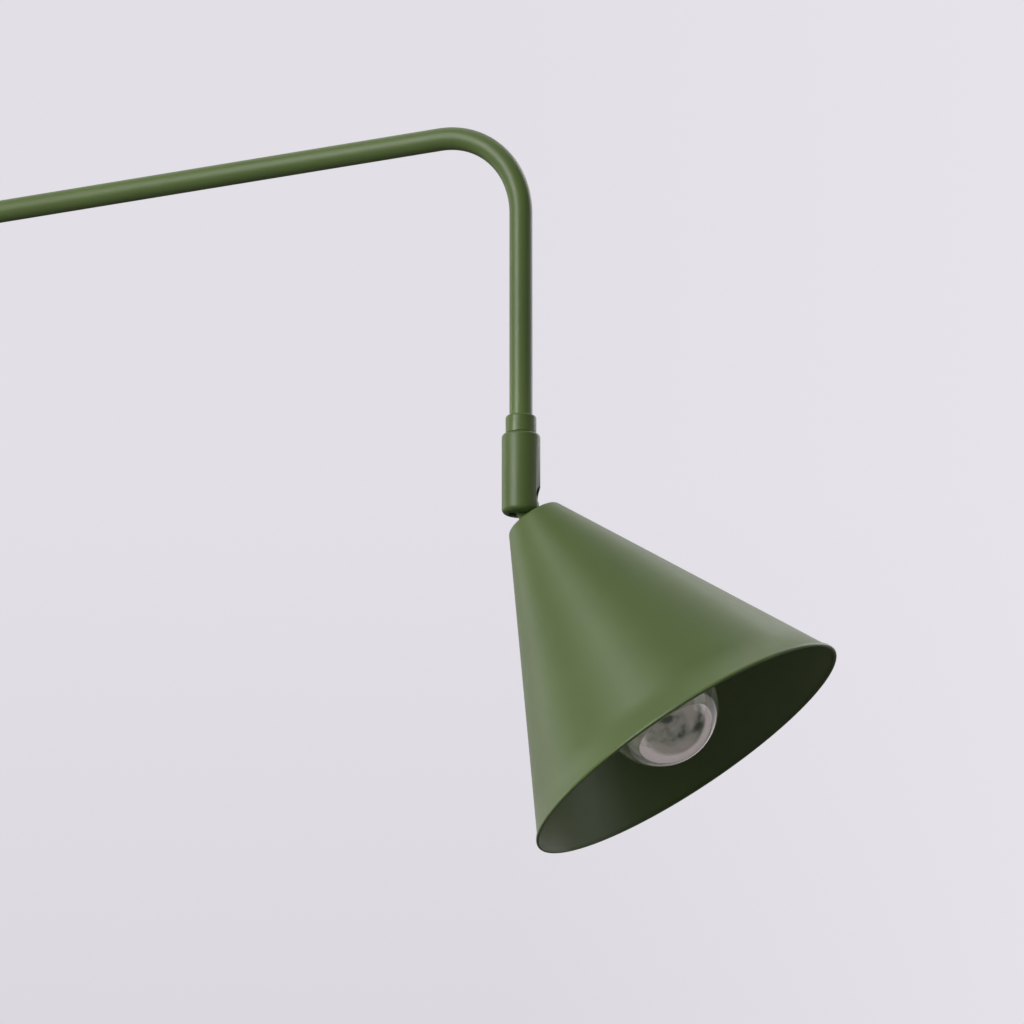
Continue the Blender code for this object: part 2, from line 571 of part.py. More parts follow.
def build_arm():
    axis = add_empty("arm_tilt_axis", (0.0, 0.0, ARM_HEIGHT))
    tube = swept(arm_route(), ARM_RADIUS, ARM_RADIUS - ARM_WALL, SEGMENTS_SMALL)
    add_object("arm_tube", tube, "green_powder_coat", axis)

    neck_half = 0.0065
    socket_start = 0.0200
    eye = 0.0105
    outline = []
    start = math.degrees(math.asin(neck_half / eye))
    for step in range(15):
        angle = math.radians(start + (360.0 - 2 * start) * step / 14)
        outline.append((eye * math.cos(angle), eye * math.sin(angle)))
    outline += [(socket_start + 0.0018, -neck_half), (socket_start + 0.0018, neck_half)]
    knuckle = add_object("arm_knuckle", plate(outline, -TONGUE_HALF, TONGUE_HALF), "green_powder_coat", axis)
    socket_end = socket_start + 0.0300
    bore_start = 0.0290 - GAP
    bore = ARM_RADIUS + GAP
    wire_hole = 0.0026
    wire_start = 0.0235
    outline = [(0.0, socket_start), (0.0072, socket_start), (0.0086, socket_start + 0.0014),
               (0.0086, socket_end - 0.0012), (0.0078, socket_end), (bore, socket_end), (bore, bore_start),
               (wire_hole, bore_start), (wire_hole, wire_start), (0.0, wire_start)]
    socket = lay_along(turned(outline, SEGMENTS_TUBE), (1.0, 0.0, 0.0))
    combine(knuckle, "arm_socket_form", socket, "UNION")
    cut(knuckle, "arm_pivot_hole", rod(BOLT_RADIUS + GAP, -0.01, 0.01, (0.0, 1.0, 0.0)))
    entry = rod(wire_hole - 0.0002, -0.020, 0.0010, segments=12, offset=(0.0262, 0.0, 0.0))
    cut(knuckle, "arm_wire_entry", entry)
    grub_radius = 0.0018
    grub_centre = (socket_end - 0.0090, 0.0, 0.0)
    cut(knuckle, "arm_grub_hole", rod(grub_radius + GAP, 0.0045, 0.0150, (0.0, 0.0, -1.0), 12, grub_centre))
    grub = rod(grub_radius, bore, 0.0082, (0.0, 0.0, -1.0), 12, grub_centre)
    add_object("arm_grub_screw", grub, "zinc_steel", axis)

    collar_low = SLEEVE_TOP + GAP - DROP_LENGTH
    collar_high = COLLAR_TOP - DROP_LENGTH
    outline = [(ARM_RADIUS + GAP, collar_low), (COLLAR_RADIUS - 0.0003, collar_low)]
    outline += [(COLLAR_RADIUS, collar_low + 0.0003)]
    outline += arc(COLLAR_RADIUS - 0.0013, collar_high - 0.0013, 0.0013, 0.0, 90.0, 4)
    outline += [(ARM_RADIUS + GAP, collar_high)]
    drop_centre = (ARM_REACH, 0.0, 0.0)
    add_object("drop_collar", turned(outline, SEGMENTS_TUBE), "green_powder_coat", axis, drop_centre)

    # threaded tube in the drop's end, with the washer and nut that carry the shade's swivel sleeve
    nipple_radius = ARM_RADIUS - ARM_WALL - GAP
    nipple = ring_profile(0.0033, nipple_radius, 0.0240 - DROP_LENGTH, 0.0700 - DROP_LENGTH)
    add_object("drop_nipple", turned(nipple), "zinc_steel", axis, drop_centre)
    roof_under = SLEEVE_TOP - SLEEVE_ROOF - DROP_LENGTH
    washer = ring_profile(nipple_radius + GAP, 0.0076, roof_under - GAP - 0.0010, roof_under - GAP)
    add_object("swivel_washer", turned(washer), "nylon", axis, drop_centre)
    nut_high = roof_under - 2 * GAP - 0.0010
    nut = hex_nut("swivel_nut", 0.0130, nipple_radius + GAP, nut_high - 0.0045, nut_high, "zinc_steel", axis)
    nut.location = drop_centre

    bend = [(ARM_REACH - BEND_RADIUS + BEND_RADIUS * math.sin(math.radians(turn)), 0.0,
             -BEND_RADIUS + BEND_RADIUS * math.cos(math.radians(turn))) for turn in range(0, 91, 15)]
    route = [(0.0262, 0.0, -0.0095), (0.0262, 0.0, -0.0060), (0.0270, 0.0, -0.0014), (0.0310, 0.0, 0.0),
             (0.0400, 0.0, 0.0), (0.3000, 0.0, 0.0), (0.5200, 0.0, 0.0), *bend, (ARM_REACH, 0.0, -0.0600),
             (ARM_REACH, 0.0, -0.1200), (ARM_REACH, 0.0, 0.0180 - DROP_LENGTH)]
    wire("arm_wire", route, axis, radius=0.0013)


# ---------------------------------------------------------------- swivel sleeve
def build_swivel():
    axis = add_empty("shade_swivel_axis", SHADE_PIVOT, None, (0.0, 0.0, SWIVEL_ANGLE))
    floor = SLEEVE_BOTTOM + SLEEVE_FLOOR
    roof = SLEEVE_TOP - SLEEVE_ROOF
    hole = ARM_RADIUS - ARM_WALL
    top_edge = 0.0020
    bottom_edge = 0.0026
    outline = [(0.0, SLEEVE_BOTTOM)]
    outline += arc(SLEEVE_RADIUS - bottom_edge, SLEEVE_BOTTOM + bottom_edge, bottom_edge, -90.0, 0.0, 4)
    outline += arc(SLEEVE_RADIUS - top_edge, SLEEVE_TOP - top_edge, top_edge, 0.0, 90.0, 3)
    outline += [(hole, SLEEVE_TOP), (hole, roof), (SLEEVE_BORE, roof), (SLEEVE_BORE, floor), (0.0, floor)]
    sleeve = add_object("swivel_sleeve", turned(outline, 28), "green_powder_coat", axis)
    slot_end = EYE_RADIUS + GAP
    cut(sleeve, "sleeve_slot", block((-slot_end, -SLOT_HALF, -0.02), (0.02, SLOT_HALF, KEYHOLE_HEIGHT)))
    cut(sleeve, "sleeve_keyhole",
        rod(KEYHOLE_RADIUS, 0.004, 0.02, (1.0, 0.0, 0.0), SEGMENTS_TUBE, (0.0, 0.0, KEYHOLE_HEIGHT)))

    # core pressed into the sleeve: a slot for the shade's eye and a wire hole above it
    core_radius = SLEEVE_BORE - GAP
    core_high = 0.0150
    core_form = rod(core_radius, floor + GAP, core_high, segments=28)
    core = add_object("swivel_core", core_form, "zinc_steel", axis)
    eye_room = EYE_RADIUS + GAP
    cut(core, "core_slot", block((-eye_room, -SLOT_HALF, -0.02), (0.02, SLOT_HALF, 0.0)))
    cut(core, "core_eye_room", rod(eye_room, -SLOT_HALF, SLOT_HALF, (0.0, 1.0, 0.0), SEGMENTS_TUBE))
    cut(core, "core_side_room", block((0.0, -SLOT_HALF, -0.0010), (0.02, SLOT_HALF, eye_room)))
    cut(core, "core_wire_hole", rod(0.0026, 0.0, 0.03))
    cut(core, "core_pin_hole", rod(0.0015 + GAP, -0.0074, 0.0074, (0.0, 1.0, 0.0), 12))
    for side, name in ((1.0, "pivot_pin_left"), (-1.0, "pivot_pin_right")):
        add_object(name, rod(0.0015, EYE_HALF - 0.0008, 0.0070, (0.0, side, 0.0), 12), "zinc_steel", axis)


# ---------------------------------------------------------------- shade, lampholder and bulb
def shade_outline():
    """Shade section: flat crown, rounded shoulder and cone, as a closed outline of sheet thickness."""
    half_angle = math.atan(SHADE_SLOPE)
    turn = math.degrees(math.pi / 2 - half_angle)

    def skin(inset):
        crown = SHADE_CROWN + inset
        shoulder = SHADE_SHOULDER - inset
        shift = inset / math.cos(half_angle)
        corner = (crown + SHADE_APEX) * SHADE_SLOPE - shift
        reach = shoulder * math.tan(math.radians(turn / 2))
        centre = corner - reach
        points = [(centre + shoulder * math.sin(math.radians(angle)),
                   -(crown + shoulder - shoulder * math.cos(math.radians(angle))))
                  for angle in [turn * step / 4 for step in range(5)]]
        rim = (SHADE_RIM + SHADE_APEX) * SHADE_SLOPE - shift
        return points, (rim, -SHADE_RIM)

    outer, outer_rim = skin(0.0)
    inner, inner_rim = skin(SHADE_SHEET)
    # the rim is turned over to a small rounded bead on the outside
    bead = [(outer_rim[0] - 0.0012, outer_rim[1] + 0.0028), (outer_rim[0] + 0.0002, outer_rim[1] + 0.0022),
            (outer_rim[0] + 0.0005, outer_rim[1] + 0.0010), (outer_rim[0] - 0.0001, outer_rim[1]),
            (inner_rim[0] + 0.0002, outer_rim[1] + 0.0001)]
    outline = [(THREAD_HOLE, -SHADE_CROWN)] + outer + bead
    outline += list(reversed(inner)) + [(THREAD_HOLE, -SHADE_CROWN - SHADE_SHEET)]
    return list(reversed(outline))


def build_shade():
    axis = add_empty("shade_tilt_axis", SHADE_PIVOT, None, (0.0, -TILT_ANGLE, SWIVEL_ANGLE))
    add_object("shade_shell", turned(shade_outline(), SEGMENTS_SHADE), "green_powder_coat", axis)

    # flat eye that turns in the sleeve's slot, in one piece with the threaded tube through the shade
    eye_low = -(SHADE_CROWN - GAP)
    outline = [(EYE_RADIUS * math.cos(math.radians(180.0 * step / 14)),
                EYE_RADIUS * math.sin(math.radians(180.0 * step / 14))) for step in range(15)]
    tab_half = 0.0042
    tab_low = eye_low - 0.0020
    outline += [(-EYE_RADIUS, eye_low), (-tab_half, eye_low), (-tab_half, tab_low), (tab_half, tab_low),
                (tab_half, eye_low), (EYE_RADIUS, eye_low)]
    eye = add_object("tilt_eye", plate(outline, -EYE_HALF, EYE_HALF), "green_powder_coat", axis)
    stud_low = -0.0285
    combine(eye, "tilt_eye_stud_form", rod(NIPPLE_RADIUS, stud_low, -SHADE_CROWN - 0.0002), "UNION")
    cut(eye, "tilt_eye_stud_bore", rod(NIPPLE_BORE, stud_low - 0.001, eye_low - 0.0010))
    cut(eye, "tilt_eye_wire_bore", rod(0.0012, -0.020, 0.010, segments=12))
    for side, label in ((1.0, "left"), (-1.0, "right")):
        cut(eye, "tilt_eye_dimple_" + label,
            rod(0.0015 + GAP, EYE_HALF - 0.0011, EYE_HALF + 0.001, (0.0, side, 0.0), 12))

    washer_high = -(SHADE_CROWN + SHADE_SHEET + GAP)
    washer = ring_profile(THREAD_HOLE, 0.0085, washer_high - 0.0010, washer_high)
    add_object("shade_washer", turned(washer), "zinc_steel", axis)
    nut_high = washer_high - 0.0010 - GAP
    nut_low = -HOLDER_TOP + GAP
    hex_nut("shade_nut", 0.0140, THREAD_HOLE, nut_low, nut_high, "zinc_steel", axis)

    build_holder(axis)
    build_bulb(axis)
    wire("head_wire", [(0.0, 0.0, 0.0050), (0.0, 0.0, -0.0150), (0.0, 0.0, -0.0330)], axis, radius=0.0009)


def build_holder(axis):
    wall = 0.0016
    radius = HOLDER_RADIUS - 0.0006
    top = -HOLDER_TOP
    shoulder = 0.0095
    outline = [(THREAD_HOLE, top - 0.0060), (THREAD_HOLE, top), (0.0085, top)]
    outline += arc(radius - shoulder, top - 0.0016 - shoulder, shoulder, 80.0, 0.0, 3)
    outline += [(radius, -HOLDER_SEAM), (radius - wall, -HOLDER_SEAM)]
    outline += arc(radius - shoulder, top - 0.0016 - shoulder, shoulder - wall, 0.0, 80.0, 3)
    outline += [(0.0085, top - 0.0060)]
    add_object("holder_cap", turned(outline, 24), "black_phenolic", axis)

    spigot = radius - wall - GAP
    inner = CAP_RADIUS + 0.0010
    spigot_high = -0.0390
    seam = -HOLDER_SEAM - GAP
    outline = [(inner, spigot_high), (spigot, spigot_high), (spigot, seam), (HOLDER_RADIUS, seam)]
    outline += [(HOLDER_RADIUS, -HOLDER_END + 0.0080), (HOLDER_RADIUS - 0.0012, -HOLDER_END + 0.0070),
                (HOLDER_RADIUS - 0.0012, -HOLDER_END + 0.0010), (HOLDER_RADIUS - 0.0022, -HOLDER_END),
                (inner, -HOLDER_END)]
    add_object("holder_shell", turned(outline, 24), "black_phenolic", axis)

    core_high = -0.0395
    core_low = -0.0520
    core = add_object("holder_insert", rod(inner - GAP, core_low, core_high, segments=24), "porcelain", axis)
    for side, label in ((1.0, "left"), (-1.0, "right")):
        screw_centre = (0.0, side * 0.0070, 0.0)
        hole = rod(0.0022, core_high - 0.0060, core_high + 0.001, segments=12, offset=screw_centre)
        cut(core, "holder_terminal_" + label, hole)
        screw = rod(0.0018, core_high - 0.0050, core_high + 0.0015, segments=12, offset=screw_centre)
        add_object("terminal_screw_" + label, screw, "brass", axis)
    leaf_high = core_low - GAP
    leaf_low = leaf_high - 0.0006
    leaf = block((-0.0022, -0.0080, leaf_low), (0.0022, 0.0025, leaf_high))
    add_object("contact_centre", leaf, "brass", axis)
    strip_outer = inner - GAP
    strip = block((strip_outer - 0.0042, -0.0020, leaf_low), (strip_outer - 0.0006, 0.0020, leaf_high))
    add_object("contact_side", strip, "brass", axis)


def build_bulb(axis):
    # screw cap: rounded thread crests, open to the glass, closed by its insulator and contact
    crest = CAP_RADIUS
    root = CAP_RADIUS - 0.0010
    wall = 0.0005
    turns = 4
    pitch = 0.0042
    first = -(CAP_END + 0.0055)
    outer = [(0.0062, -(CAP_END + 0.0012)), (root - 0.0012, first + 0.0014), (root, first)]
    for turn_index in range(turns):
        start = first - pitch * turn_index
        outer += [(crest, start - pitch * 0.5), (root, start - pitch)]
    outer += [(root, -CAP_OPEN)]
    inner = [(max(radius - wall, 0.0055), height - (wall if radius < root - 0.0005 else 0.0))
             for radius, height in reversed(outer)]
    add_object("bulb_cap", turned(list(reversed(outer + inner)), 20), "nickel_cap", axis)
    insulator = [(0.0026, -(CAP_END + 0.0006)), (0.0050, -(CAP_END + 0.0010)), (0.0052, -(CAP_END + 0.0034)),
                 (0.0026, -(CAP_END + 0.0034))]
    add_object("bulb_insulator", turned(insulator), "black_phenolic", axis)
    button = [(0.0, -CAP_END), (0.0, -(CAP_END + 0.0030)), (0.0022, -(CAP_END + 0.0030)),
              (0.0022, -(CAP_END + 0.0005))]
    add_object("bulb_contact", turned(list(reversed(button)), 16), "nickel_cap", axis)

    # pear-shaped glass: neck inside the cap, then a globe, open at the neck's end
    neck = root - wall - GAP - 0.0002
    neck_out = 0.0128
    start = 0.0790
    join_angle = 42.0

    def glass_skin(inset):
        globe = GLOBE_RADIUS - inset
        points = [(neck - inset, -start), (neck - inset, -(CAP_OPEN + GAP)),
                  (neck_out - inset, -(CAP_OPEN + 0.0020))]
        meet = (globe * math.sin(math.radians(join_angle)),
                -(GLOBE_CENTRE - globe * math.cos(math.radians(join_angle))))
        low = points[-1]
        for step in range(1, 4):
            t = step / 4
            flare = t * t * (1.35 - 0.35 * t)
            points.append((low[0] + (meet[0] - low[0]) * flare, low[1] + (meet[1] - low[1]) * t))
        steps = 9
        for step in range(steps + 1):
            angle = math.radians(join_angle + (180.0 - join_angle) * step / steps)
            points.append((max(globe * math.sin(angle), 0.0), -(GLOBE_CENTRE - globe * math.cos(angle))))
        points[-1] = (0.0, points[-1][1])
        return points

    outer_skin = glass_skin(0.0)
    inner_skin = glass_skin(GLASS_WALL)
    glass = list(reversed(outer_skin + list(reversed(inner_skin))))
    add_object("bulb_glass", turned(glass, 20), "bulb_glass", axis)

    stem = [(0.0, -0.0800), (0.0095, -0.0800), (0.0085, -0.0830), (0.0032, -0.0950), (0.0026, -0.1080),
            (0.0, -0.1080)]
    add_object("bulb_stem", turned(list(reversed(stem)), 16), "bulb_glass", axis)
    loop = []
    for step in range(9):
        angle = math.radians(180.0 * step / 8)
        loop.append((0.0090 * math.cos(angle), 0.0, -0.1125 - 0.0050 * math.sin(angle)))
    wire("bulb_filament", loop, axis, radius=0.0005, finish="filament")


clear_scene()
build_base()
build_pole()
build_stem()
build_hub()
build_arm()
build_swivel()
build_shade()
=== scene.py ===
import json
import math

import bmesh
import bpy
from mathutils import Matrix, Vector


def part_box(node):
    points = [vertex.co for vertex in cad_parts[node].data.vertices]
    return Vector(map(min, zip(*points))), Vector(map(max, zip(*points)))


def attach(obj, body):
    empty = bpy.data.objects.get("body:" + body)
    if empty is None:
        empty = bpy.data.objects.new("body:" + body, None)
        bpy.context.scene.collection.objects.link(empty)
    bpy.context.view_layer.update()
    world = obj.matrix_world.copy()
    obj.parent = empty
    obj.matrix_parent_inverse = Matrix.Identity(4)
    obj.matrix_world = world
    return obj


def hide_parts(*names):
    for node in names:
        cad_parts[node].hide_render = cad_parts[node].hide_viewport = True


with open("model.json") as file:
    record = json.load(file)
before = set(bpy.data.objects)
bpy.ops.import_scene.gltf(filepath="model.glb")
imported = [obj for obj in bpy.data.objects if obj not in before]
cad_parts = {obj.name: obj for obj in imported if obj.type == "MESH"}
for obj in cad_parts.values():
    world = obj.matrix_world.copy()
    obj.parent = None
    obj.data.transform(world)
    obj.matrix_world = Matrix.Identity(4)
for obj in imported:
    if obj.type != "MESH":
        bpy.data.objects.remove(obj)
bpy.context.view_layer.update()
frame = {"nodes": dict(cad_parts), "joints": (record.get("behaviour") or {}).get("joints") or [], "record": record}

# ---------------------------------------------------------------- places read from the frame
MM = 0.001
UPWARD = Vector((0.0, 0.0, 1.0))
JOINTS = {joint["name"]: joint for joint in frame["joints"]}
PIVOT = Vector(JOINTS["shade_tilt"]["pos_m"])                 # where the shade's tilt axis crosses the drop
TILT_AXIS = Vector(JOINTS["shade_tilt"]["axis"]).normalized()
TILT = -math.radians(JOINTS["shade_tilt"]["range_deg"][0])    # at its lower limit the shade hangs straight
SHADE_DOWN = Matrix.Rotation(TILT, 3, TILT_AXIS) @ -UPWARD
LEAN = Vector((-TILT_AXIS.y, TILT_AXIS.x, 0.0))               # level direction that the shade leans towards
ARM_HEIGHT = JOINTS["arm_tilt"]["pos_m"][2]
ARM_REACH = PIVOT.x

FACING_LEAN = Matrix.Rotation(math.atan2(LEAN.y, LEAN.x), 4, "Z")
POLE_FRAME = Matrix.Identity(4)
HUB_FRAME = Matrix.Translation((0.0, 0.0, ARM_HEIGHT))
DROP_FRAME = Matrix.Translation(PIVOT)
SLEEVE_FRAME = DROP_FRAME @ FACING_LEAN
SHADE_FRAME = DROP_FRAME @ Matrix.Rotation(TILT, 4, TILT_AXIS) @ FACING_LEAN


# ---------------------------------------------------------------- modelling helpers
def arc(centre_radius, centre_height, radius, start_degrees, end_degrees, steps=6):
    """Points along a round stretch of an outline, from one angle to another."""
    points = []
    for step in range(steps + 1):
        angle = math.radians(start_degrees + (end_degrees - start_degrees) * step / steps)
        points.append((centre_radius + radius * math.cos(angle), centre_height + radius * math.sin(angle)))
    return points


def turned(profile, segments=96):
    """Solid of revolution about Z from a closed outline of (radius, height) points."""
    bm = bmesh.new()
    rings = []
    for radius, height in profile:
        if radius < 1e-7:
            rings.append([bm.verts.new((0.0, 0.0, height))])
            continue
        ring = []
        for step in range(segments):
            angle = math.tau * step / segments
            ring.append(bm.verts.new((radius * math.cos(angle), radius * math.sin(angle), height)))
        rings.append(ring)
    for lower, upper in zip(rings, rings[1:] + rings[:1]):
        if len(lower) == 1 and len(upper) == 1:
            continue
        for step in range(segments):
            following = (step + 1) % segments
            if len(lower) == 1:
                bm.faces.new((lower[0], upper[step], upper[following]))
            elif len(upper) == 1:
                bm.faces.new((lower[step], lower[following], upper[0]))
            else:
                bm.faces.new((lower[step], lower[following], upper[following], upper[step]))
    return bm


def finish_mesh(name, bm, material, matrix=None, smooth_angle=40.0):
    """Object from a mesh under construction: placed, with smooth faces and sharp edges past an angle."""
    if matrix is not None:
        bmesh.ops.transform(bm, matrix=matrix, verts=bm.verts)
    bmesh.ops.recalc_face_normals(bm, faces=bm.faces)
    mesh = bpy.data.meshes.new(name)
    bm.to_mesh(mesh)
    bm.free()
    mesh.shade_smooth()
    mesh.set_sharp_from_angle(angle=math.radians(smooth_angle))
    if material is not None:
        mesh.materials.append(material)
    piece = bpy.data.objects.new(name, mesh)
    bpy.context.collection.objects.link(piece)
    return piece


def stands_for(piece, node, body):
    """The piece moves with a body and takes a plain node's place."""
    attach(piece, body)
    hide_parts(node)


def turned_piece(name, outline, segments, material, node, body, matrix=POLE_FRAME):
    stands_for(finish_mesh(name, turned(outline, segments), material, matrix), node, body)


def former(name, bm, matrix, operation="DIFFERENCE"):
    """A form that is cut out of a piece, joined to it (UNION) or kept in common with it (INTERSECT)."""
    return finish_mesh(name, bm, None, matrix), operation


def apply_forms(piece, formers, bevel=0.0):
    """Cut or join the forms in turn and round the new edges, then keep the result as the piece's mesh."""
    for form, operation in formers:
        modifier = piece.modifiers.new(form.name, "BOOLEAN")
        modifier.operation = operation
        modifier.solver = "EXACT"
        modifier.object = form
    if bevel > 0.0:
        modifier = piece.modifiers.new("soft_edge", "BEVEL")
        modifier.width = bevel
        modifier.segments = 2
        modifier.limit_method = "ANGLE"
        modifier.angle_limit = math.radians(50.0)
        modifier.use_clamp_overlap = True
        modifier.harden_normals = False
    graph = bpy.context.evaluated_depsgraph_get()
    mesh = bpy.data.meshes.new_from_object(piece.evaluated_get(graph))
    piece.modifiers.clear()
    piece.data = mesh
    mesh.shade_smooth()
    mesh.set_sharp_from_angle(angle=math.radians(35.0))
    for form, _ in formers:
        bpy.data.objects.remove(form, do_unlink=True)


def rod(radius, low, high, direction=UPWARD, segments=64, offset=(0.0, 0.0, 0.0)):
    """Cylinder from `low` to `high` along a direction, moved by an offset."""
    bm = bmesh.new()
    bmesh.ops.create_cone(bm, cap_ends=True, segments=segments, radius1=radius, radius2=radius,
                          depth=high - low)
    bmesh.ops.translate(bm, vec=UPWARD * ((low + high) / 2), verts=bm.verts)
    turn = UPWARD.rotation_difference(Vector(direction)).to_matrix().to_4x4()
    bmesh.ops.transform(bm, matrix=Matrix.Translation(Vector(offset)) @ turn, verts=bm.verts)
    return bm


def block(low, high):
    bm = bmesh.new()
    bmesh.ops.create_cube(bm, size=1.0)
    centre = (Vector(low) + Vector(high)) / 2
    size = Vector(high) - Vector(low)
    stretch = Matrix.Diagonal((*size, 1.0))
    bmesh.ops.transform(bm, matrix=Matrix.Translation(centre) @ stretch, verts=bm.verts)
    return bm


def plate(outline, half):
    """Flat plate from an outline of (x, z) points, as thick as two halves and centred on the XZ plane."""
    bm = bmesh.new()
    face = bm.faces.new([bm.verts.new((x, -half, z)) for x, z in outline])
    grown = bmesh.ops.extrude_face_region(bm, geom=[face])
    moved = [item for item in grown["geom"] if isinstance(item, bmesh.types.BMVert)]
    bmesh.ops.translate(bm, vec=Vector((0.0, 2 * half, 0.0)), verts=moved)
    return bm


def swept(path, outer, inner, sides=64):
    """Round tube along points in the XZ plane."""
    bm = bmesh.new()
    across = Vector((0.0, 1.0, 0.0))
    sections = []
    for index, point in enumerate(path):
        before = path[max(index - 1, 0)]
        after = path[min(index + 1, len(path) - 1)]
        ahead = (after - before).normalized()
        upright = ahead.cross(across).normalized()
        loops = []
        for radius in (outer, inner):
            loop = []
            for step in range(sides):
                angle = math.tau * step / sides
                offset = across * (radius * math.cos(angle)) + upright * (radius * math.sin(angle))
                loop.append(bm.verts.new(point + offset))
            loops.append(loop)
        sections.append(loops)
    for first, second in zip(sections, sections[1:]):
        for loop_a, loop_b in zip(first, second):
            for step in range(sides):
                following = (step + 1) % sides
                bm.faces.new((loop_a[step], loop_a[following], loop_b[following], loop_b[step]))
    for loops in (sections[0], sections[-1]):
        for step in range(sides):
            following = (step + 1) % sides
            bm.faces.new((loops[0][step], loops[0][following], loops[1][following], loops[1][step]))
    return bm


# ---------------------------------------------------------------- materials
def new_material(name):
    material = bpy.data.materials.new(name)
    material.use_nodes = True
    nodes = material.node_tree.nodes
    return material, nodes, material.node_tree.links, nodes["Principled BSDF"]


def add(nodes, kind, **settings):
    node = nodes.new(kind)
    for key, value in settings.items():
        setattr(node, key, value)
    return node


def noise(nodes, links, coords, scale, detail=3.0, roughness=0.5):
    node = add(nodes, "ShaderNodeTexNoise")
    node.inputs["Scale"].default_value = scale
    node.inputs["Detail"].default_value = detail
    node.inputs["Roughness"].default_value = roughness
    links.new(coords, node.inputs["Vector"])
    return node.outputs["Fac"]


def ramp(nodes, links, factor, stops):
    node = add(nodes, "ShaderNodeValToRGB")
    elements = node.color_ramp.elements
    elements[0].position, elements[0].color = stops[0][0], (*stops[0][1], 1.0)
    elements[1].position, elements[1].color = stops[-1][0], (*stops[-1][1], 1.0)
    for position, colour in stops[1:-1]:
        element = elements.new(position)
        element.color = (*colour, 1.0)
    links.new(factor, node.inputs["Fac"])
    return node.outputs["Color"]


def bump(nodes, links, height, strength, distance, normal=None):
    node = add(nodes, "ShaderNodeBump")
    node.inputs["Strength"].default_value = strength
    node.inputs["Distance"].default_value = distance
    links.new(height, node.inputs["Height"])
    if normal is not None:
        links.new(normal, node.inputs["Normal"])
    return node.outputs["Normal"]


def map_range(nodes, links, value, low, high):
    """`low` to `high` as the value goes from 0 to 1."""
    node = add(nodes, "ShaderNodeMapRange")
    node.inputs["To Min"].default_value = low
    node.inputs["To Max"].default_value = high
    links.new(value, node.inputs["Value"])
    return node.outputs["Result"]


def scaled(colour, factor):
    return tuple(channel * factor for channel in colour)


def along(nodes, links, vector, direction):
    """How far a vector goes in a direction."""
    node = add(nodes, "ShaderNodeVectorMath", operation="DOT_PRODUCT")
    node.inputs[1].default_value = direction
    links.new(vector, node.inputs[0])
    return node.outputs["Value"]


def spread(nodes, links, value, start, end):
    """0 to 1 as the value goes from `start` to `end`."""
    node = add(nodes, "ShaderNodeMapRange")
    node.inputs["From Min"].default_value = start
    node.inputs["From Max"].default_value = end
    links.new(value, node.inputs["Value"])
    return node.outputs["Result"]


def product(nodes, links, first, second):
    node = add(nodes, "ShaderNodeMath", operation="MULTIPLY")
    links.new(first, node.inputs[0])
    links.new(second, node.inputs[1])
    return node.outputs[0]


def blend(nodes, links, factor, first, second):
    """Mix of two colours, each one a plain colour or a colour's socket."""
    node = add(nodes, "ShaderNodeMix", data_type="RGBA")
    links.new(factor, node.inputs[0])
    for socket, value in ((node.inputs[6], first), (node.inputs[7], second)):
        if isinstance(value, tuple):
            socket.default_value = (*value, 1.0)
        else:
            links.new(value, socket)
    return node.outputs[2]


GREEN = (0.106, 0.160, 0.044)
DUST = (0.32, 0.31, 0.29)
WORN_GLOSS = (0.36, 0.36, 0.36)                              # roughness where the coat is thin
# painted reflection: glow colours that the green coat shows in the bulb's silver
PAINTED_ROOM_REFLECTION = [(0.38, (0.035, 0.040, 0.028)), (0.47, (0.095, 0.095, 0.078)), (0.62, (0.150, 0.136, 0.122))]


def powder_coat(name, colour, rough=0.44):
    """Satin powder coat: fine orange peel and a faint mottle, thin at edges, dusty on level faces; in the bulb's
    silver it shows a painted room reflection.
    """
    material, nodes, links, shader = new_material(name)
    coords = add(nodes, "ShaderNodeTexCoord").outputs["Object"]
    geometry = add(nodes, "ShaderNodeNewGeometry").outputs
    edge = spread(nodes, links, geometry["Pointiness"], 0.53, 0.64)

    mottle = noise(nodes, links, coords, scale=22.0, detail=4.0, roughness=0.55)
    shades = [(0.30, scaled(colour, 0.93)), (0.55, colour), (0.75, scaled(colour, 1.07))]
    tone = blend(nodes, links, edge, ramp(nodes, links, mottle, shades), scaled(colour, 1.45))
    level = spread(nodes, links, along(nodes, links, geometry["Normal"], UPWARD), 0.90, 1.0)
    patches = noise(nodes, links, coords, scale=45.0, detail=5.0, roughness=0.7)
    settled = product(nodes, links, level, map_range(nodes, links, patches, 0.0, 0.16))
    tone = blend(nodes, links, settled, tone, DUST)
    links.new(tone, shader.inputs["Base Color"])

    clouds = noise(nodes, links, coords, scale=160.0, detail=3.0, roughness=0.6)
    gloss = map_range(nodes, links, clouds, rough - 0.05, rough + 0.06)
    links.new(blend(nodes, links, edge, gloss, WORN_GLOSS), shader.inputs["Roughness"])
    peel = noise(nodes, links, coords, scale=620.0, detail=2.0, roughness=0.5)
    grain = noise(nodes, links, coords, scale=1900.0, detail=2.0, roughness=0.6)
    peeled = bump(nodes, links, peel, strength=0.06, distance=0.0004)
    grained = bump(nodes, links, grain, strength=0.025, distance=0.0001, normal=peeled)
    links.new(grained, shader.inputs["Normal"])
    shader.inputs["IOR"].default_value = 1.5
    shader.inputs["Specular IOR Level"].default_value = 0.5

    path = add(nodes, "ShaderNodeLightPath").outputs         # painted reflection: seen in the bulb's silver through the glass, the coat glows with mottled room colours in place of its green
    bounced = spread(nodes, links, path["Glossy Depth"], 0.0, 1.0)
    reflection_mottle = noise(nodes, links, coords, scale=14.0, detail=3.0, roughness=0.6)
    links.new(ramp(nodes, links, reflection_mottle, PAINTED_ROOM_REFLECTION), shader.inputs["Emission Color"])
    mirrored = product(nodes, links, path["Is Transmission Ray"], bounced)
    links.new(mirrored, shader.inputs["Emission Strength"])
    return material


green = powder_coat("green_powder_coat", GREEN)


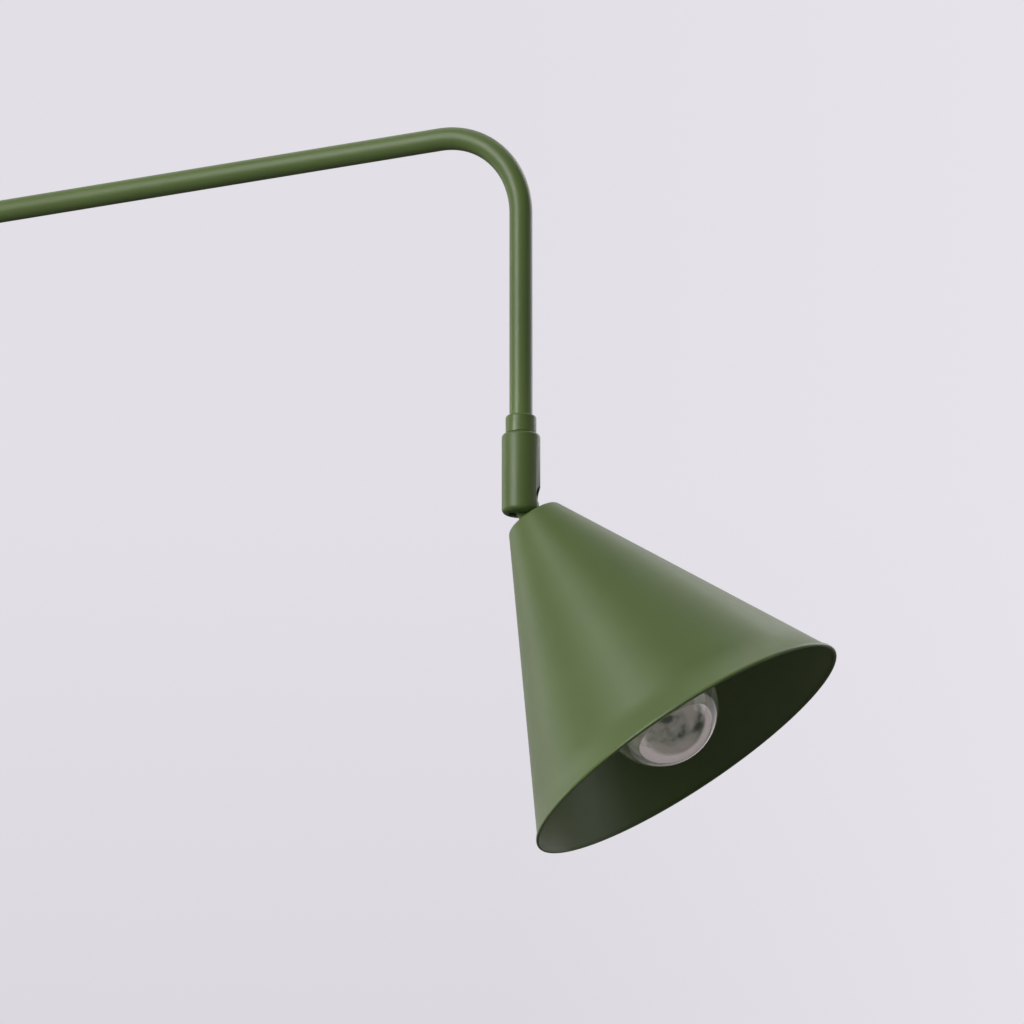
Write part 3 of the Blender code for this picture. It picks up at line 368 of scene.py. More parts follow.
def plain_metal(name, colour, rough, scale=400.0):
    material, nodes, links, shader = new_material(name)
    coords = add(nodes, "ShaderNodeTexCoord").outputs["Object"]
    wear = noise(nodes, links, coords, scale=scale * 0.2, detail=4.0, roughness=0.6)
    tone = ramp(nodes, links, wear, [(0.25, scaled(colour, 0.80)), (0.80, scaled(colour, 1.08))])
    links.new(tone, shader.inputs["Base Color"])
    fine = noise(nodes, links, coords, scale=scale, detail=3.0, roughness=0.6)
    links.new(map_range(nodes, links, fine, rough * 0.75, rough * 1.3), shader.inputs["Roughness"])
    links.new(bump(nodes, links, fine, strength=0.08, distance=0.0002), shader.inputs["Normal"])
    shader.inputs["Metallic"].default_value = 1.0
    return material


def moulded(name, colour, rough, scale=900.0, strength=0.12):
    material, nodes, links, shader = new_material(name)
    coords = add(nodes, "ShaderNodeTexCoord").outputs["Object"]
    cloud = noise(nodes, links, coords, scale=30.0, detail=3.0, roughness=0.5)
    tone = ramp(nodes, links, cloud, [(0.3, scaled(colour, 0.88)), (0.8, scaled(colour, 1.10))])
    links.new(tone, shader.inputs["Base Color"])
    fine = noise(nodes, links, coords, scale=scale, detail=3.0, roughness=0.6)
    links.new(map_range(nodes, links, fine, rough * 0.85, rough * 1.15), shader.inputs["Roughness"])
    links.new(bump(nodes, links, fine, strength=strength, distance=0.0002), shader.inputs["Normal"])
    return material


def clear_glass(name):
    material, nodes, links, shader = new_material(name)
    shader.inputs["Base Color"].default_value = (0.97, 0.98, 0.985, 1.0)
    shader.inputs["Transmission Weight"].default_value = 1.0
    shader.inputs["IOR"].default_value = 1.47
    coords = add(nodes, "ShaderNodeTexCoord").outputs["Object"]
    smear = noise(nodes, links, coords, scale=60.0, detail=3.0, roughness=0.6)
    links.new(map_range(nodes, links, smear, 0.0, 0.03), shader.inputs["Roughness"])
    ripple = noise(nodes, links, coords, scale=25.0, detail=1.0, roughness=0.4)
    links.new(bump(nodes, links, ripple, strength=0.03, distance=0.0005), shader.inputs["Normal"])
    return material


def silvered(name):
    """Mirror coating behind the bulb's glass: nearly perfect, with faint smears and ripples."""
    material, nodes, links, shader = new_material(name)
    shader.inputs["Metallic"].default_value = 1.0
    coords = add(nodes, "ShaderNodeTexCoord").outputs["Object"]
    smear = noise(nodes, links, coords, scale=70.0, detail=4.0, roughness=0.6)
    tone = ramp(nodes, links, smear, [(0.3, (0.78, 0.76, 0.76)), (0.8, (0.88, 0.87, 0.87))])
    links.new(tone, shader.inputs["Base Color"])
    links.new(map_range(nodes, links, smear, 0.03, 0.10), shader.inputs["Roughness"])
    ripple = noise(nodes, links, coords, scale=30.0, detail=1.0, roughness=0.4)
    links.new(bump(nodes, links, ripple, strength=0.04, distance=0.0005), shader.inputs["Normal"])
    shader.inputs["Coat Weight"].default_value = 1.0
    shader.inputs["Coat Roughness"].default_value = 0.02
    return material


steel = plain_metal("zinc_steel", (0.56, 0.56, 0.57), 0.33)
brass = plain_metal("brass", (0.74, 0.54, 0.23), 0.30)
nickel = plain_metal("nickel_cap", (0.66, 0.64, 0.60), 0.28)
iron = moulded("cast_iron", (0.055, 0.055, 0.058), 0.75, 300.0, 0.5)
rubber = moulded("black_rubber", (0.022, 0.022, 0.022), 0.80, 1200.0, 0.25)
nylon = moulded("nylon", (0.76, 0.75, 0.70), 0.50)
phenolic = moulded("black_phenolic", (0.020, 0.020, 0.022), 0.36, 700.0, 0.08)
porcelain = moulded("porcelain", (0.80, 0.79, 0.76), 0.22, 200.0, 0.05)
sheath = moulded("wire_sheath", (0.030, 0.030, 0.032), 0.50)
glass = clear_glass("bulb_glass")
mirror = silvered("crown_mirror")
tungsten = plain_metal("filament", (0.32, 0.31, 0.30), 0.40)

FINISHES = {"green_powder_coat": green, "cast_iron": iron, "black_rubber": rubber, "zinc_steel": steel,
            "brass": brass, "nylon": nylon, "black_phenolic": phenolic, "porcelain": porcelain,
            "nickel_cap": nickel, "bulb_glass": glass, "filament": tungsten, "wire_sheath": sheath}
SLOT_OF = {entry["node"]: entry["material_slot"] for entry in frame["record"]["subparts"]}
for node_name, node_object in frame["nodes"].items():
    node_object.data.materials.clear()
    node_object.data.materials.append(FINISHES[SLOT_OF[node_name]])


# ---------------------------------------------------------------- shade
SHADE_CROWN, SHADE_RIM, SHADE_APEX = 10.8 * MM, 159.2 * MM, 17.1 * MM
HALF_ANGLE = math.radians(27.33)
SHEET = 1.1 * MM
SHOULDER = 4.0 * MM
NIPPLE_HOLE = 5.3 * MM
BEAD_RADIUS, BEAD_INSET = 0.9 * MM, 0.05 * MM


def shade_skin(inset):
    """Outline of the cone's outer face, or its inner face by a sheet's inset, and its radius at the rim."""
    crown = SHADE_CROWN + inset
    shoulder = SHOULDER - inset
    shift = inset / math.cos(HALF_ANGLE)
    slope = math.tan(HALF_ANGLE)
    turn = 90.0 - math.degrees(HALF_ANGLE)
    centre = (crown + SHADE_APEX) * slope - shift - shoulder * math.tan(math.radians(turn / 2))
    points = arc(centre, -crown - shoulder, shoulder, 90.0, 90.0 - turn, 10)
    rim = (SHADE_RIM + SHADE_APEX) * slope - shift
    above_bead, steps = 3.0 * MM, 10                         # the rings keep edge wear beside the edges
    start, last = points[-1], (rim - above_bead * slope, above_bead - SHADE_RIM)
    for step in range(1, steps + 1):
        t = step / steps
        points.append((start[0] + (last[0] - start[0]) * t, start[1] + (last[1] - start[1]) * t))
    return points, rim


def build_shade():
    outer, outer_rim = shade_skin(0.0)
    inner, inner_rim = shade_skin(SHEET)
    middle = (outer_rim + inner_rim) / 2 - BEAD_INSET
    bead = [(outer_rim - 0.7 * MM, 2.6 * MM - SHADE_RIM), (outer_rim - 0.2 * MM, 1.9 * MM - SHADE_RIM)]
    bead += arc(middle, BEAD_RADIUS - SHADE_RIM, BEAD_RADIUS, 20.0, -190.0, 10)
    outline = [(NIPPLE_HOLE, -SHADE_CROWN)] + outer + bead + list(reversed(inner))
    outline += [(NIPPLE_HOLE, -SHADE_CROWN - SHEET)]
    turned_piece("shade", outline, 160, green, "shade_shell", "shade", SHADE_FRAME)


build_shade()


# ---------------------------------------------------------------- bulb
GLOBE_RADIUS, GLOBE_CENTRE = 30.6 * MM, 132.0 * MM


def glass_skin(inset):
    """Outline of the bulb's glass: neck, throat, a smooth swell and the globe."""
    globe = GLOBE_RADIUS - inset
    neck, throat, join = 11.3 * MM - inset, 12.8 * MM - inset, 42.0
    neck_start, neck_end, throat_end = -79.0 * MM, -83.6 * MM, -85.8 * MM
    low = (throat, throat_end)
    flared = neck + 0.4 * (throat - neck)
    points = [(neck, neck_start), (neck, neck_end), (flared, neck_end - 0.5 * MM), low]
    upper = arc(0.0, -GLOBE_CENTRE, globe, 90.0 - join, -90.0, 48)
    meet, swell = upper[0], 1.35
    steps = 14
    for step in range(1, steps):
        t = step / steps
        radius = low[0] + (meet[0] - low[0]) * t * t * (swell - (swell - 1.0) * t)
        points.append((radius, low[1] + (meet[1] - low[1]) * t))
    return points + upper[:-1] + [(0.0, upper[-1][1])]


def build_bulb():
    outline = glass_skin(0.0) + list(reversed(glass_skin(0.8 * MM)))
    piece = finish_mesh("globe_bulb", turned(outline, 96), glass, SHADE_FRAME, 60.0)
    stands_for(piece, "bulb_glass", "shade")


def build_silver_bowl():
    """Silvered crown: a deep bowl that lies against the inside of the globe's far end."""
    width, depth, centre, wall = 24.2 * MM, 22.6 * MM, 139.0 * MM, 0.4 * MM
    brim, step = -60, 3                                      # degrees from the bowl's middle

    def skin(inset):
        angles = [math.radians(angle) for angle in range(brim, 91, step)]
        return [((width - inset) * math.cos(angle), -(centre + (depth - inset) * math.sin(angle)))
                for angle in angles]

    outer, inner = skin(0.0), skin(wall)
    outer[-1], inner[-1] = (0.0, outer[-1][1]), (0.0, inner[-1][1])
    outline = outer + list(reversed(inner))
    bowl = finish_mesh("silvered_crown", turned(outline, 96), mirror, SHADE_FRAME, 60.0)
    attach(bowl, "shade")


build_bulb()
build_silver_bowl()


# ---------------------------------------------------------------- swivel sleeve, collar and drop
def build_sleeve():
    radius, bore, mouth = 10.0 * MM, 8.5 * MM, 5.0 * MM
    top, bottom = 35.5 * MM, -7.3 * MM
    roof, floor = top - 2.5 * MM, bottom + 2.0 * MM
    top_edge, bottom_edge = 2.0 * MM, 2.6 * MM
    outline = [(0.0, bottom)]
    outline += arc(radius - bottom_edge, bottom + bottom_edge, bottom_edge, -90.0, 0.0, 10)
    outline += arc(radius - top_edge, top - top_edge, top_edge, 0.0, 90.0, 8)
    outline += [(mouth, top), (mouth, roof), (bore, roof), (bore, floor), (0.0, floor)]
    sleeve = finish_mesh("swivel_barrel", turned(outline, 128), green, SLEEVE_FRAME)

    slot_half, slot_end, keyhole, keyhole_height, reach = 3.1 * MM, 6.2 * MM, 5.5 * MM, 2.0 * MM, 20.0 * MM
    slot = block((-slot_end, -slot_half, -reach), (reach, slot_half, keyhole_height))
    hole = rod(keyhole, 4.0 * MM, reach, (1.0, 0.0, 0.0), 64, (0.0, 0.0, keyhole_height))
    forms = [former("slot_cut", slot, SLEEVE_FRAME), former("keyhole_cut", hole, SLEEVE_FRAME)]
    apply_forms(sleeve, forms, 0.2 * MM)
    stands_for(sleeve, "swivel_sleeve", "swivel")


def build_drop_collar():
    radius, bore, low, high, edge, chamfer = 8.0 * MM, 6.3 * MM, 35.8 * MM, 45.3 * MM, 1.3 * MM, 0.2 * MM
    outline = [(bore, low), (radius - chamfer, low), (radius, low + chamfer)]
    outline += arc(radius - edge, high - edge, edge, 0.0, 90.0, 8)
    outline += [(bore, high)]
    turned_piece("drop_ring", outline, 96, green, "drop_collar", "arm", DROP_FRAME)


def build_tilt_eye():
    eye, half, wire_hole, reach = 5.9 * MM, 2.7 * MM, 1.2 * MM, 20.0 * MM
    low, tab, tab_depth = -10.5 * MM, 4.2 * MM, 2.0 * MM
    outline = arc(0.0, 0.0, eye, 0.0, 180.0, 40)
    outline += [(-eye, low), (-tab, low), (-tab, low - tab_depth)]
    outline += [(tab, low - tab_depth), (tab, low), (eye, low)]
    piece = finish_mesh("tilt_lug", plate(outline, half), green, SHADE_FRAME)
    wire_way = former("lug_wire_cut", rod(wire_hole, -reach, reach, segments=32), SHADE_FRAME)
    apply_forms(piece, [wire_way], 0.25 * MM)
    stands_for(piece, "tilt_eye", "shade")


build_sleeve()
build_drop_collar()
build_tilt_eye()


# ---------------------------------------------------------------- arm
def arm_path():
    """Middle line of the arm: a long straight, a quarter bend and the drop."""
    start, bend, drop_end = 29.0 * MM, 48.0 * MM, PIVOT.z + 36.4 * MM
    points = [(x, ARM_HEIGHT) for x in (start, 0.15, 0.30, 0.45)]
    points += arc(ARM_REACH - bend, ARM_HEIGHT - bend, bend, 90.0, 0.0, 40)
    points += [(ARM_REACH, (points[-1][1] + drop_end) / 2), (ARM_REACH, drop_end)]
    return [Vector((x, 0.0, z)) for x, z in points]


arm = finish_mesh("bent_arm", swept(arm_path(), 6.0 * MM, 5.0 * MM), green)
stands_for(arm, "arm_tube", "arm")


# ---------------------------------------------------------------- lampholder
def build_holder():
    radius, seam, end, chamfer = 19.3 * MM, 46.0 * MM, 82.0 * MM, 0.4 * MM
    upper, wall, top, shoulder = radius - 0.6 * MM, 1.6 * MM, -18.9 * MM, 9.5 * MM
    boss, boss_depth, boss_angle = 8.5 * MM, 6.0 * MM, 80.0
    dome_centre = top - wall - shoulder
    outline = [(NIPPLE_HOLE, top - boss_depth), (NIPPLE_HOLE, top), (boss, top)]
    outline += arc(upper - shoulder, dome_centre, shoulder, boss_angle, 0.0, 12)
    outline += [(upper, chamfer - seam), (upper - chamfer, -seam), (upper - wall, -seam)]
    outline += arc(upper - shoulder, dome_centre, shoulder - wall, 0.0, boss_angle, 12)
    outline += [(boss, top - boss_depth)]
    turned_piece("holder_top", outline, 96, phenolic, "holder_cap", "shade", SHADE_FRAME)

    gap, inner, spigot_top, edge = 0.3 * MM, 14.1 * MM, -39.0 * MM, 0.5 * MM
    spigot, low_seam = upper - wall - gap, -seam - gap
    outline = [(inner, spigot_top), (spigot, spigot_top), (spigot, low_seam), (radius - edge, low_seam)]
    outline += [(radius, low_seam - edge)]
    grooves, pitch, first, depth, mouth, bed = 6, 3.6 * MM, -52.0 * MM, 0.6 * MM, 0.9 * MM, 0.5 * MM
    for groove in range(grooves):
        centre = first - groove * pitch
        outline += [(radius, centre + mouth), (radius - depth, centre + bed)]
        outline += [(radius - depth, centre - bed), (radius, centre - mouth)]
    lip, lip_edge = radius - 1.2 * MM, 1.2 * MM
    outline += [(radius, 8.0 * MM - end), (lip, 7.0 * MM - end), (lip, lip_edge - end)]
    outline += arc(lip - lip_edge, lip_edge - end, lip_edge, 0.0, -90.0, 5)
    outline += [(inner + chamfer, -end), (inner, chamfer - end)]
    turned_piece("holder_body", outline, 96, phenolic, "holder_shell", "shade",
                 SHADE_FRAME)


build_holder()


# ---------------------------------------------------------------- base
def build_base():
    radius, height, sheet, edge, hole = 130.0 * MM, 20.0 * MM, 1.2 * MM, 6.0 * MM, 5.3 * MM
    lift, chamfer = 1.0 * MM, 0.3 * MM
    outline = [(hole, height - sheet)]
    outline += arc(radius - edge, height - edge, edge - sheet, 90.0, 0.0, 10)
    outline += [(radius - sheet, lift + chamfer), (radius - sheet + chamfer, lift)]
    outline += [(radius - chamfer, lift), (radius, lift + chamfer)]
    outline += arc(radius - edge, height - edge, edge, 0.0, 90.0, 14)
    outline += [(ring * MM, height) for ring in (90.0, 50.0, 25.0)]          # they keep its shading even
    outline += [(hole, height)]
    cover = finish_mesh("base_shell", turned(outline, 192), green, POLE_FRAME)
    gland, gland_height, reach = 4.5 * MM, 6.6 * MM, 10.0 * MM
    hole_form = rod(gland, -radius - reach, reach - radius, (1.0, 0.0, 0.0), 48, (0.0, 0.0, gland_height))
    apply_forms(cover, [former("gland_cut", hole_form, POLE_FRAME)])
    stands_for(cover, "base_cover", "base")

    pad_radius, pad_top = 121.5 * MM, 2.0 * MM
    pad = [(0.0, 0.0), (pad_radius - chamfer, 0.0), (pad_radius, chamfer)]
    pad += [(pad_radius, pad_top), (0.0, pad_top)]
    turned_piece("foot_pad", pad, 160, rubber, "base_pad", "base")

    low, high, foot, clear, skirt, flare = 20.3 * MM, 34.3 * MM, 17.5 * MM, 9.8 * MM, 1.7 * MM, 7.0 * MM
    ring = [(clear, low), (foot - chamfer, low), (foot, low + chamfer), (foot, low + skirt)]
    ring += arc(foot, high, flare, -105.0, -172.0, 14)
    ring += [(clear + chamfer, high), (clear, high - 0.2 * MM)]
    turned_piece("foot_flare", ring, 96, green, "pole_foot_ring", "base")


# ---------------------------------------------------------------- pole, height lock and stem
def knob_outline(face, hole, radius, length):
    """Round knob about Z: blind hole for its stud, slim neck, fine grip grooves and a crowned end."""
    neck, hole_end, chamfer = radius * 0.62, face + length * 0.82 + 0.3 * MM, 0.2 * MM
    shoulder, bed, edge, crown = 0.4 * MM, radius - 0.35 * MM, 1.2 * MM, 1.6 * MM
    end = face + length
    outline = [(hole, face), (neck - chamfer, face), (neck, face + chamfer), (neck, face + length * 0.22)]
    outline += [(radius - shoulder, face + length * 0.32), (radius, face + length * 0.36)]
    for groove in range(3):
        start = face + length * (0.45 + 0.13 * groove)
        outline += [(radius, start), (bed, start + 0.25 * MM)]
        outline += [(bed, start + 0.45 * MM), (radius, start + 0.70 * MM)]
    outline += arc(radius - edge, end - crown, edge, 0.0, 70.0, 6)
    outline += [(radius * 0.45, end - 0.15 * MM), (0.0, end), (0.0, hole_end), (hole, hole_end)]
    return outline


def tube_outline(bore, radius, low, high, chamfer):
    """Straight tube with both outer edges broken."""
    return [(bore, low), (radius - chamfer, low), (radius, low + chamfer),
            (radius, high - chamfer), (radius - chamfer, high), (bore, high)]


def build_pole():
    pole_radius, pole_low, pole_top, chamfer = 9.5 * MM, 20.3 * MM, 860.0 * MM, 0.2 * MM
    tube = tube_outline(8.3 * MM, pole_radius, pole_low, pole_top, chamfer)
    turned_piece("lower_pole", tube, 96, green, "pole_outer", "base")

    low, high, step = pole_top - 14.0 * MM, pole_top + 18.0 * MM, pole_top + 0.3 * MM
    radius, edge, clear, bore, groove = 14.0 * MM, 1.2 * MM, 9.8 * MM, 7.3 * MM, 0.4 * MM
    outline = [(clear, low)] + arc(radius - edge, low + edge, edge, -90.0, 0.0, 8)
    outline += [(radius, pole_top - 1.5 * MM), (radius - groove, pole_top - 1.1 * MM)]
    outline += [(radius - groove, pole_top - 0.4 * MM), (radius, pole_top)]
    outline += arc(radius - edge, high - edge, edge, 0.0, 90.0, 8)
    outline += [(bore, high), (bore, step), (clear, step)]
    collar = finish_mesh("height_collar", turned(outline, 96), green, POLE_FRAME)
    screw_height = Vector(JOINTS["height_lock_turn"]["pos_m"]).z
    thread = rod(2.8 * MM, -20.0 * MM, 0.0, (0.0, 1.0, 0.0), 32, (0.0, 0.0, screw_height))
    apply_forms(collar, [former("collar_thread_cut", thread, POLE_FRAME)])
    stands_for(collar, "lock_collar", "base")

    knob = knob_outline(face=16.2 * MM, hole=2.8 * MM, radius=9.5 * MM, length=10.5 * MM)
    sideways = Matrix.Translation((0.0, 0.0, screw_height)) @ Matrix.Rotation(math.radians(90.0), 4, "X")
    turned_piece("height_knob", knob, 72, green, "lock_knob", "lock_screw_body",
                 sideways)

    stem = tube_outline(5.8 * MM, 7.0 * MM, 500.0 * MM, 1440.0 * MM, chamfer)
    turned_piece("upper_pole", stem, 80, green, "pole_inner", "stem")


# ---------------------------------------------------------------- hub, bolt, knob and arm knuckle
BOLT_HOLE, GRUB_HOLE = 3.3 * MM, 2.1 * MM
ALONG_BOLT = HUB_FRAME @ Matrix.Rotation(math.radians(-90.0), 4, "X")
ALONG_ARM = HUB_FRAME @ Matrix.Rotation(math.radians(90.0), 4, "Y")


def build_hub():
    low, crown, radius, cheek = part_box("swing_hub")[0][2] - ARM_HEIGHT, 11.4 * MM, 11.0 * MM, 10.0 * MM
    edge, top, reach = 0.8 * MM, 14.0 * MM, 20.0 * MM
    barrel = [(0.0, low)] + arc(radius - edge, low + edge, edge, -90.0, 0.0, 6)
    barrel += [(radius, top), (0.0, top)]
    hub = finish_mesh("hub_fork", turned(barrel, 96), green, HUB_FRAME)
    dome = arc(0.0, 0.0, crown, 0.0, 180.0, 60) + [(-crown, low - 1.0 * MM), (crown, low - 1.0 * MM)]
    slot_half, post, post_end, grub_height = 4.7 * MM, 5.3 * MM, -19.0 * MM, 1461.5 * MM - ARM_HEIGHT
    grub = rod(GRUB_HOLE, 4.0 * MM, reach, (-1.0, 0.0, 0.0), 32, (0.0, 0.0, grub_height))
    apply_forms(hub, [
        former("hub_form", plate(dome, cheek), HUB_FRAME, "INTERSECT"),
        former("fork_slot_cut", block((-reach, -slot_half, -reach), (reach, slot_half, reach)), HUB_FRAME),
        former("post_cut", rod(post, low - 10.0 * MM, post_end), HUB_FRAME),
        former("bolt_cut", rod(BOLT_HOLE, -reach, reach, (0.0, 1.0, 0.0)), HUB_FRAME),
        former("grub_cut", grub, HUB_FRAME)], 0.35 * MM)
    stands_for(hub, "swing_hub", "arm_hub")

    head, bolt_radius, end = -10.3 * MM, 3.0 * MM, 20.5 * MM
    face, crown_edge, socket = head - 2.2 * MM, 1.0 * MM, 1.9 * MM
    outline = [(0.0, face), (socket, face), (socket + 0.2 * MM, face - crown_edge)]
    outline += [(4.2 * MM, face - crown_edge)] + arc(4.6 * MM, face, crown_edge, -90.0, 0.0, 6)
    outline += [(5.6 * MM, head), (bolt_radius, head), (bolt_radius, end), (0.0, end)]
    turned_piece("cross_bolt", outline, 64, green, "tilt_bolt", "arm_hub", ALONG_BOLT)

    knob = knob_outline(face=11.4 * MM, hole=BOLT_HOLE, radius=11.0 * MM, length=12.0 * MM)
    turned_piece("tilt_hand_knob", knob, 80, green, "tilt_knob", "tilt_knob_body",
                 ALONG_BOLT)


def build_knuckle():
    eye, neck, half, start, overlap = 10.5 * MM, 6.5 * MM, 3.5 * MM, 20.0 * MM, 1.8 * MM
    neck_angle = math.degrees(math.asin(neck / eye))
    outline = arc(0.0, 0.0, eye, neck_angle, 360.0 - neck_angle, 48)
    outline += [(start + overlap, -neck), (start + overlap, neck)]
    knuckle = finish_mesh("arm_knuckle_eye", plate(outline, half), green, HUB_FRAME)

    wall, bore, end, seat = 8.6 * MM, 6.3 * MM, start + 30.0 * MM, 28.7 * MM
    nose, lip, passage, passage_start = 1.6 * MM, 0.9 * MM, 2.6 * MM, 23.5 * MM
    socket = [(0.0, start), (6.6 * MM, start)] + arc(7.0 * MM, start + nose, nose, -90.0, 0.0, 8)
    socket += arc(wall - lip, end - lip, lip, 0.0, 90.0, 6)
    socket += [(bore, end), (bore, seat), (passage, seat), (passage, passage_start), (0.0, passage_start)]
    entry = rod(2.4 * MM, -20.0 * MM, 1.0 * MM, segments=32, offset=(26.2 * MM, 0.0, 0.0))
    grub = rod(GRUB_HOLE, 4.5 * MM, 15.0 * MM, (0.0, 0.0, -1.0), 32, (end - 9.0 * MM, 0.0, 0.0))
    apply_forms(knuckle, [
        former("socket_form", turned(socket, 80), ALONG_ARM, "UNION"),
        former("pivot_cut", rod(BOLT_HOLE, -10.0 * MM, 10.0 * MM, (0.0, 1.0, 0.0)), HUB_FRAME),
        former("wire_entry_cut", entry, HUB_FRAME),
        former("arm_grub_cut", grub, HUB_FRAME)], 0.3 * MM)
    stands_for(knuckle, "arm_knuckle", "arm")


build_base()
build_pole()
build_hub()
build_knuckle()


# ---------------------------------------------------------------- camera, floor and light
AZIMUTH, ELEVATION, DISTANCE = math.radians(27.8), math.radians(15.5), 4.40  # it looks up at the shade
LENS_WIDTH = 0.5294                                          # width of the view at the shade, metres
RIGHT = Vector((math.cos(AZIMUTH), math.sin(AZIMUTH), 0.0))
AWAY = Vector((-math.sin(AZIMUTH), math.cos(AZIMUTH), 0.0))
LOOK = AWAY * math.cos(ELEVATION) + UPWARD * math.sin(ELEVATION)
UP = RIGHT.cross(LOOK)


def build_camera():
    data = bpy.data.cameras.new("camera")
    data.sensor_width = 36.0
    data.lens = data.sensor_width * DISTANCE / LENS_WIDTH
    camera = bpy.data.objects.new("camera", data)
    bpy.context.collection.objects.link(camera)
    left, below = 4.66 * MM, 5.92 * MM
    target = PIVOT - RIGHT * left - UP * below
    camera.location = target - LOOK * DISTANCE
    rotation = Matrix((RIGHT, UP, -LOOK)).transposed()
    camera.rotation_euler = rotation.to_euler()
    data.clip_start, data.clip_end = 0.05, 200.0
    bpy.context.scene.camera = camera


build_camera()


def surround(nodes, links, direction, mirrored):
    """The studio as the lamp sees it: a pale wall behind, a dim mottled room in front.

    Mirrored is how it shows in the bulb's silver, through the glass.
    """
    brightness = 1.0 if mirrored else 0.45
    colours = ((0.36, (0.030, 0.036, 0.026)), (0.47, (0.140, 0.142, 0.118)), (0.62, (0.220, 0.195, 0.175)))
    stops = [(position, scaled(colour, brightness)) for position, colour in colours]
    blotches = noise(nodes, links, direction, scale=1.6, detail=3.0, roughness=0.55)
    room = ramp(nodes, links, blotches, stops)
    if mirrored:
        room_side = (RIGHT * 0.56 - AWAY * 0.83) * 0.82 - UPWARD * 0.57
        dim = spread(nodes, links, along(nodes, links, direction, room_side), 0.06, 0.28)
        return blend(nodes, links, dim, (0.40, 0.35, 0.34), room)
    facing = spread(nodes, links, along(nodes, links, direction, AWAY), 0.0, 0.55)
    return blend(nodes, links, facing, room, (0.72, 0.68, 0.72))


def build_world():
    """Studio round the lamp: a pale backdrop to look at, and dimmer surroundings that light the lamp."""
    world = bpy.data.worlds.new("studio")
    bpy.context.scene.world = world
    world.use_nodes = True
    nodes, links = world.node_tree.nodes, world.node_tree.links
    direction = add(nodes, "ShaderNodeTexCoord").outputs["Generated"]
    path = add(nodes, "ShaderNodeLightPath").outputs
    lit = blend(nodes, links, path["Is Transmission Ray"], surround(nodes, links, direction, False),
                surround(nodes, links, direction, True))
    low_wall, high_wall, right_wall = (0.700, 0.680, 0.728), (0.762, 0.740, 0.792), (0.800, 0.778, 0.832)
    height = spread(nodes, links, along(nodes, links, direction, UPWARD), 0.20, 0.27)
    side = spread(nodes, links, along(nodes, links, direction, RIGHT), 0.0, 0.08)
    backdrop = blend(nodes, links, side, blend(nodes, links, height, low_wall, high_wall), right_wall)
    seen = blend(nodes, links, path["Is Camera Ray"], lit, backdrop)
    links.new(seen, nodes["Background"].inputs["Color"])


def glow(nodes, links, colour):
    """Emission of a colour or of a colour's socket."""
    node = add(nodes, "ShaderNodeEmission")
    if isinstance(colour, tuple):
        node.inputs["Color"].default_value = (*colour, 1.0)
    else:
        links.new(colour, node.inputs["Color"])
    return node.outputs["Emission"]


def mixed(nodes, links, factor, first, second):
    node = add(nodes, "ShaderNodeMixShader")
    for socket, value in zip(node.inputs, (factor, first, second)):
        links.new(value, socket)
    return node.outputs["Shader"]


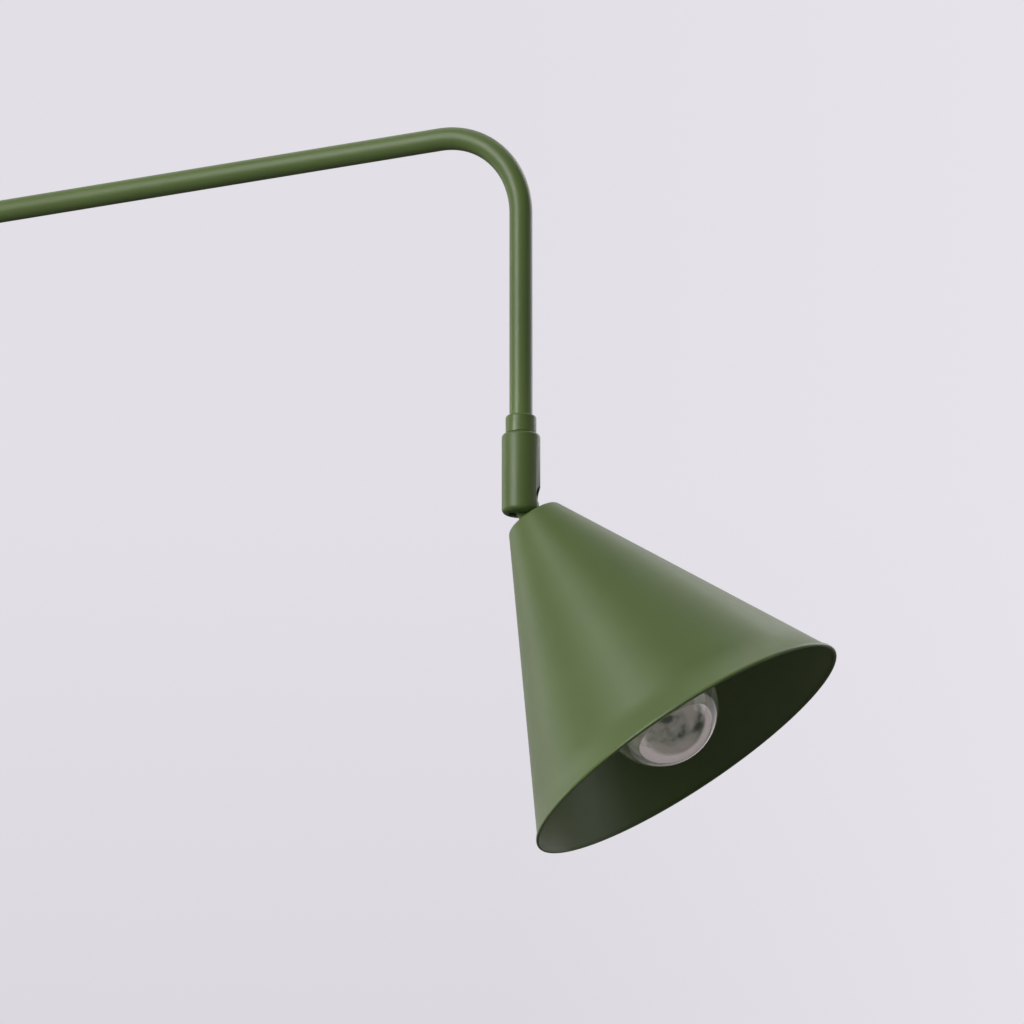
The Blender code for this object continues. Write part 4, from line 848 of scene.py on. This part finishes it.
def build_floor():
    """Large pale floor: dimmer as a light source than to the eye, and it runs up into the backdrop."""
    bm = bmesh.new()
    bmesh.ops.create_grid(bm, x_segments=8, y_segments=8, size=60.0)
    material, nodes, links, shader = new_material("studio_floor")
    coords = add(nodes, "ShaderNodeTexCoord").outputs["Object"]
    path = add(nodes, "ShaderNodeLightPath").outputs
    bounced, backdrop = (0.17, 0.17, 0.17), (0.720, 0.700, 0.750)
    shades = [(0.2, (0.69, 0.675, 0.72)), (0.8, (0.71, 0.695, 0.74))]
    tone = ramp(nodes, links, noise(nodes, links, coords, scale=0.6, detail=2.0), shades)
    links.new(blend(nodes, links, path["Is Camera Ray"], bounced, tone), shader.inputs["Base Color"])
    shader.inputs["Roughness"].default_value = 0.85

    # painted reflection: seen in the bulb's silver, the floor glows with the studio's colours as the bulb would
    # see them
    offset = add(nodes, "ShaderNodeVectorMath", operation="SUBTRACT")
    offset.inputs[1].default_value = PIVOT + SHADE_DOWN * GLOBE_CENTRE
    links.new(coords, offset.inputs[0])
    from_bulb = add(nodes, "ShaderNodeVectorMath", operation="NORMALIZE")
    links.new(offset.outputs["Vector"], from_bulb.inputs[0])
    mirrored = glow(nodes, links, surround(nodes, links, from_bulb.outputs["Vector"], True))
    near = mixed(nodes, links, path["Is Transmission Ray"], shader.outputs["BSDF"], mirrored)

    reach = add(nodes, "ShaderNodeVectorMath", operation="LENGTH")
    links.new(coords, reach.inputs[0])
    distance = spread(nodes, links, reach.outputs["Value"], 0.5, 3.6)
    far = product(nodes, links, distance, path["Is Camera Ray"])
    surface = mixed(nodes, links, far, near, glow(nodes, links, backdrop))
    links.new(surface, nodes["Material Output"].inputs["Surface"])
    finish_mesh("floor", bm, material)


def add_area(name, direction, distance, width, height, power):
    """Rectangular light that faces the shade's pivot from a direction."""
    data = bpy.data.lights.new(name, "AREA")
    data.shape = "RECTANGLE"
    data.size, data.size_y = width, height
    data.energy = power
    light = bpy.data.objects.new(name, data)
    bpy.context.collection.objects.link(light)
    light.location = PIVOT + Vector(direction).normalized() * distance
    light.rotation_euler = (-Vector(direction)).to_track_quat("-Z", "Y").to_euler()
    light.visible_camera = False
    light.visible_transmission = False


def build_light():
    add_area("key", UPWARD * 0.42 - AWAY * 0.77 - RIGHT * 0.79, 2.2, 0.9, 1.8, 42.0)
    add_area("rim", AWAY * 0.80 + RIGHT * 0.75 + UPWARD * 0.75, 2.2, 1.0, 1.6, 14.0)
    add_area("left_edge", AWAY * 0.55 - RIGHT + UPWARD * 0.20, 2.4, 0.4, 1.8, 7.5)
    add_area("right_fill", RIGHT - AWAY * 0.10 + UPWARD * 0.08, 2.2, 1.1, 1.2, 5.5)
    add_area("top", UPWARD + AWAY * 0.2, 2.2, 2.0, 2.0, 8.0)


build_floor()
build_world()
build_light()
bpy.context.scene.view_settings.view_transform = "Standard"
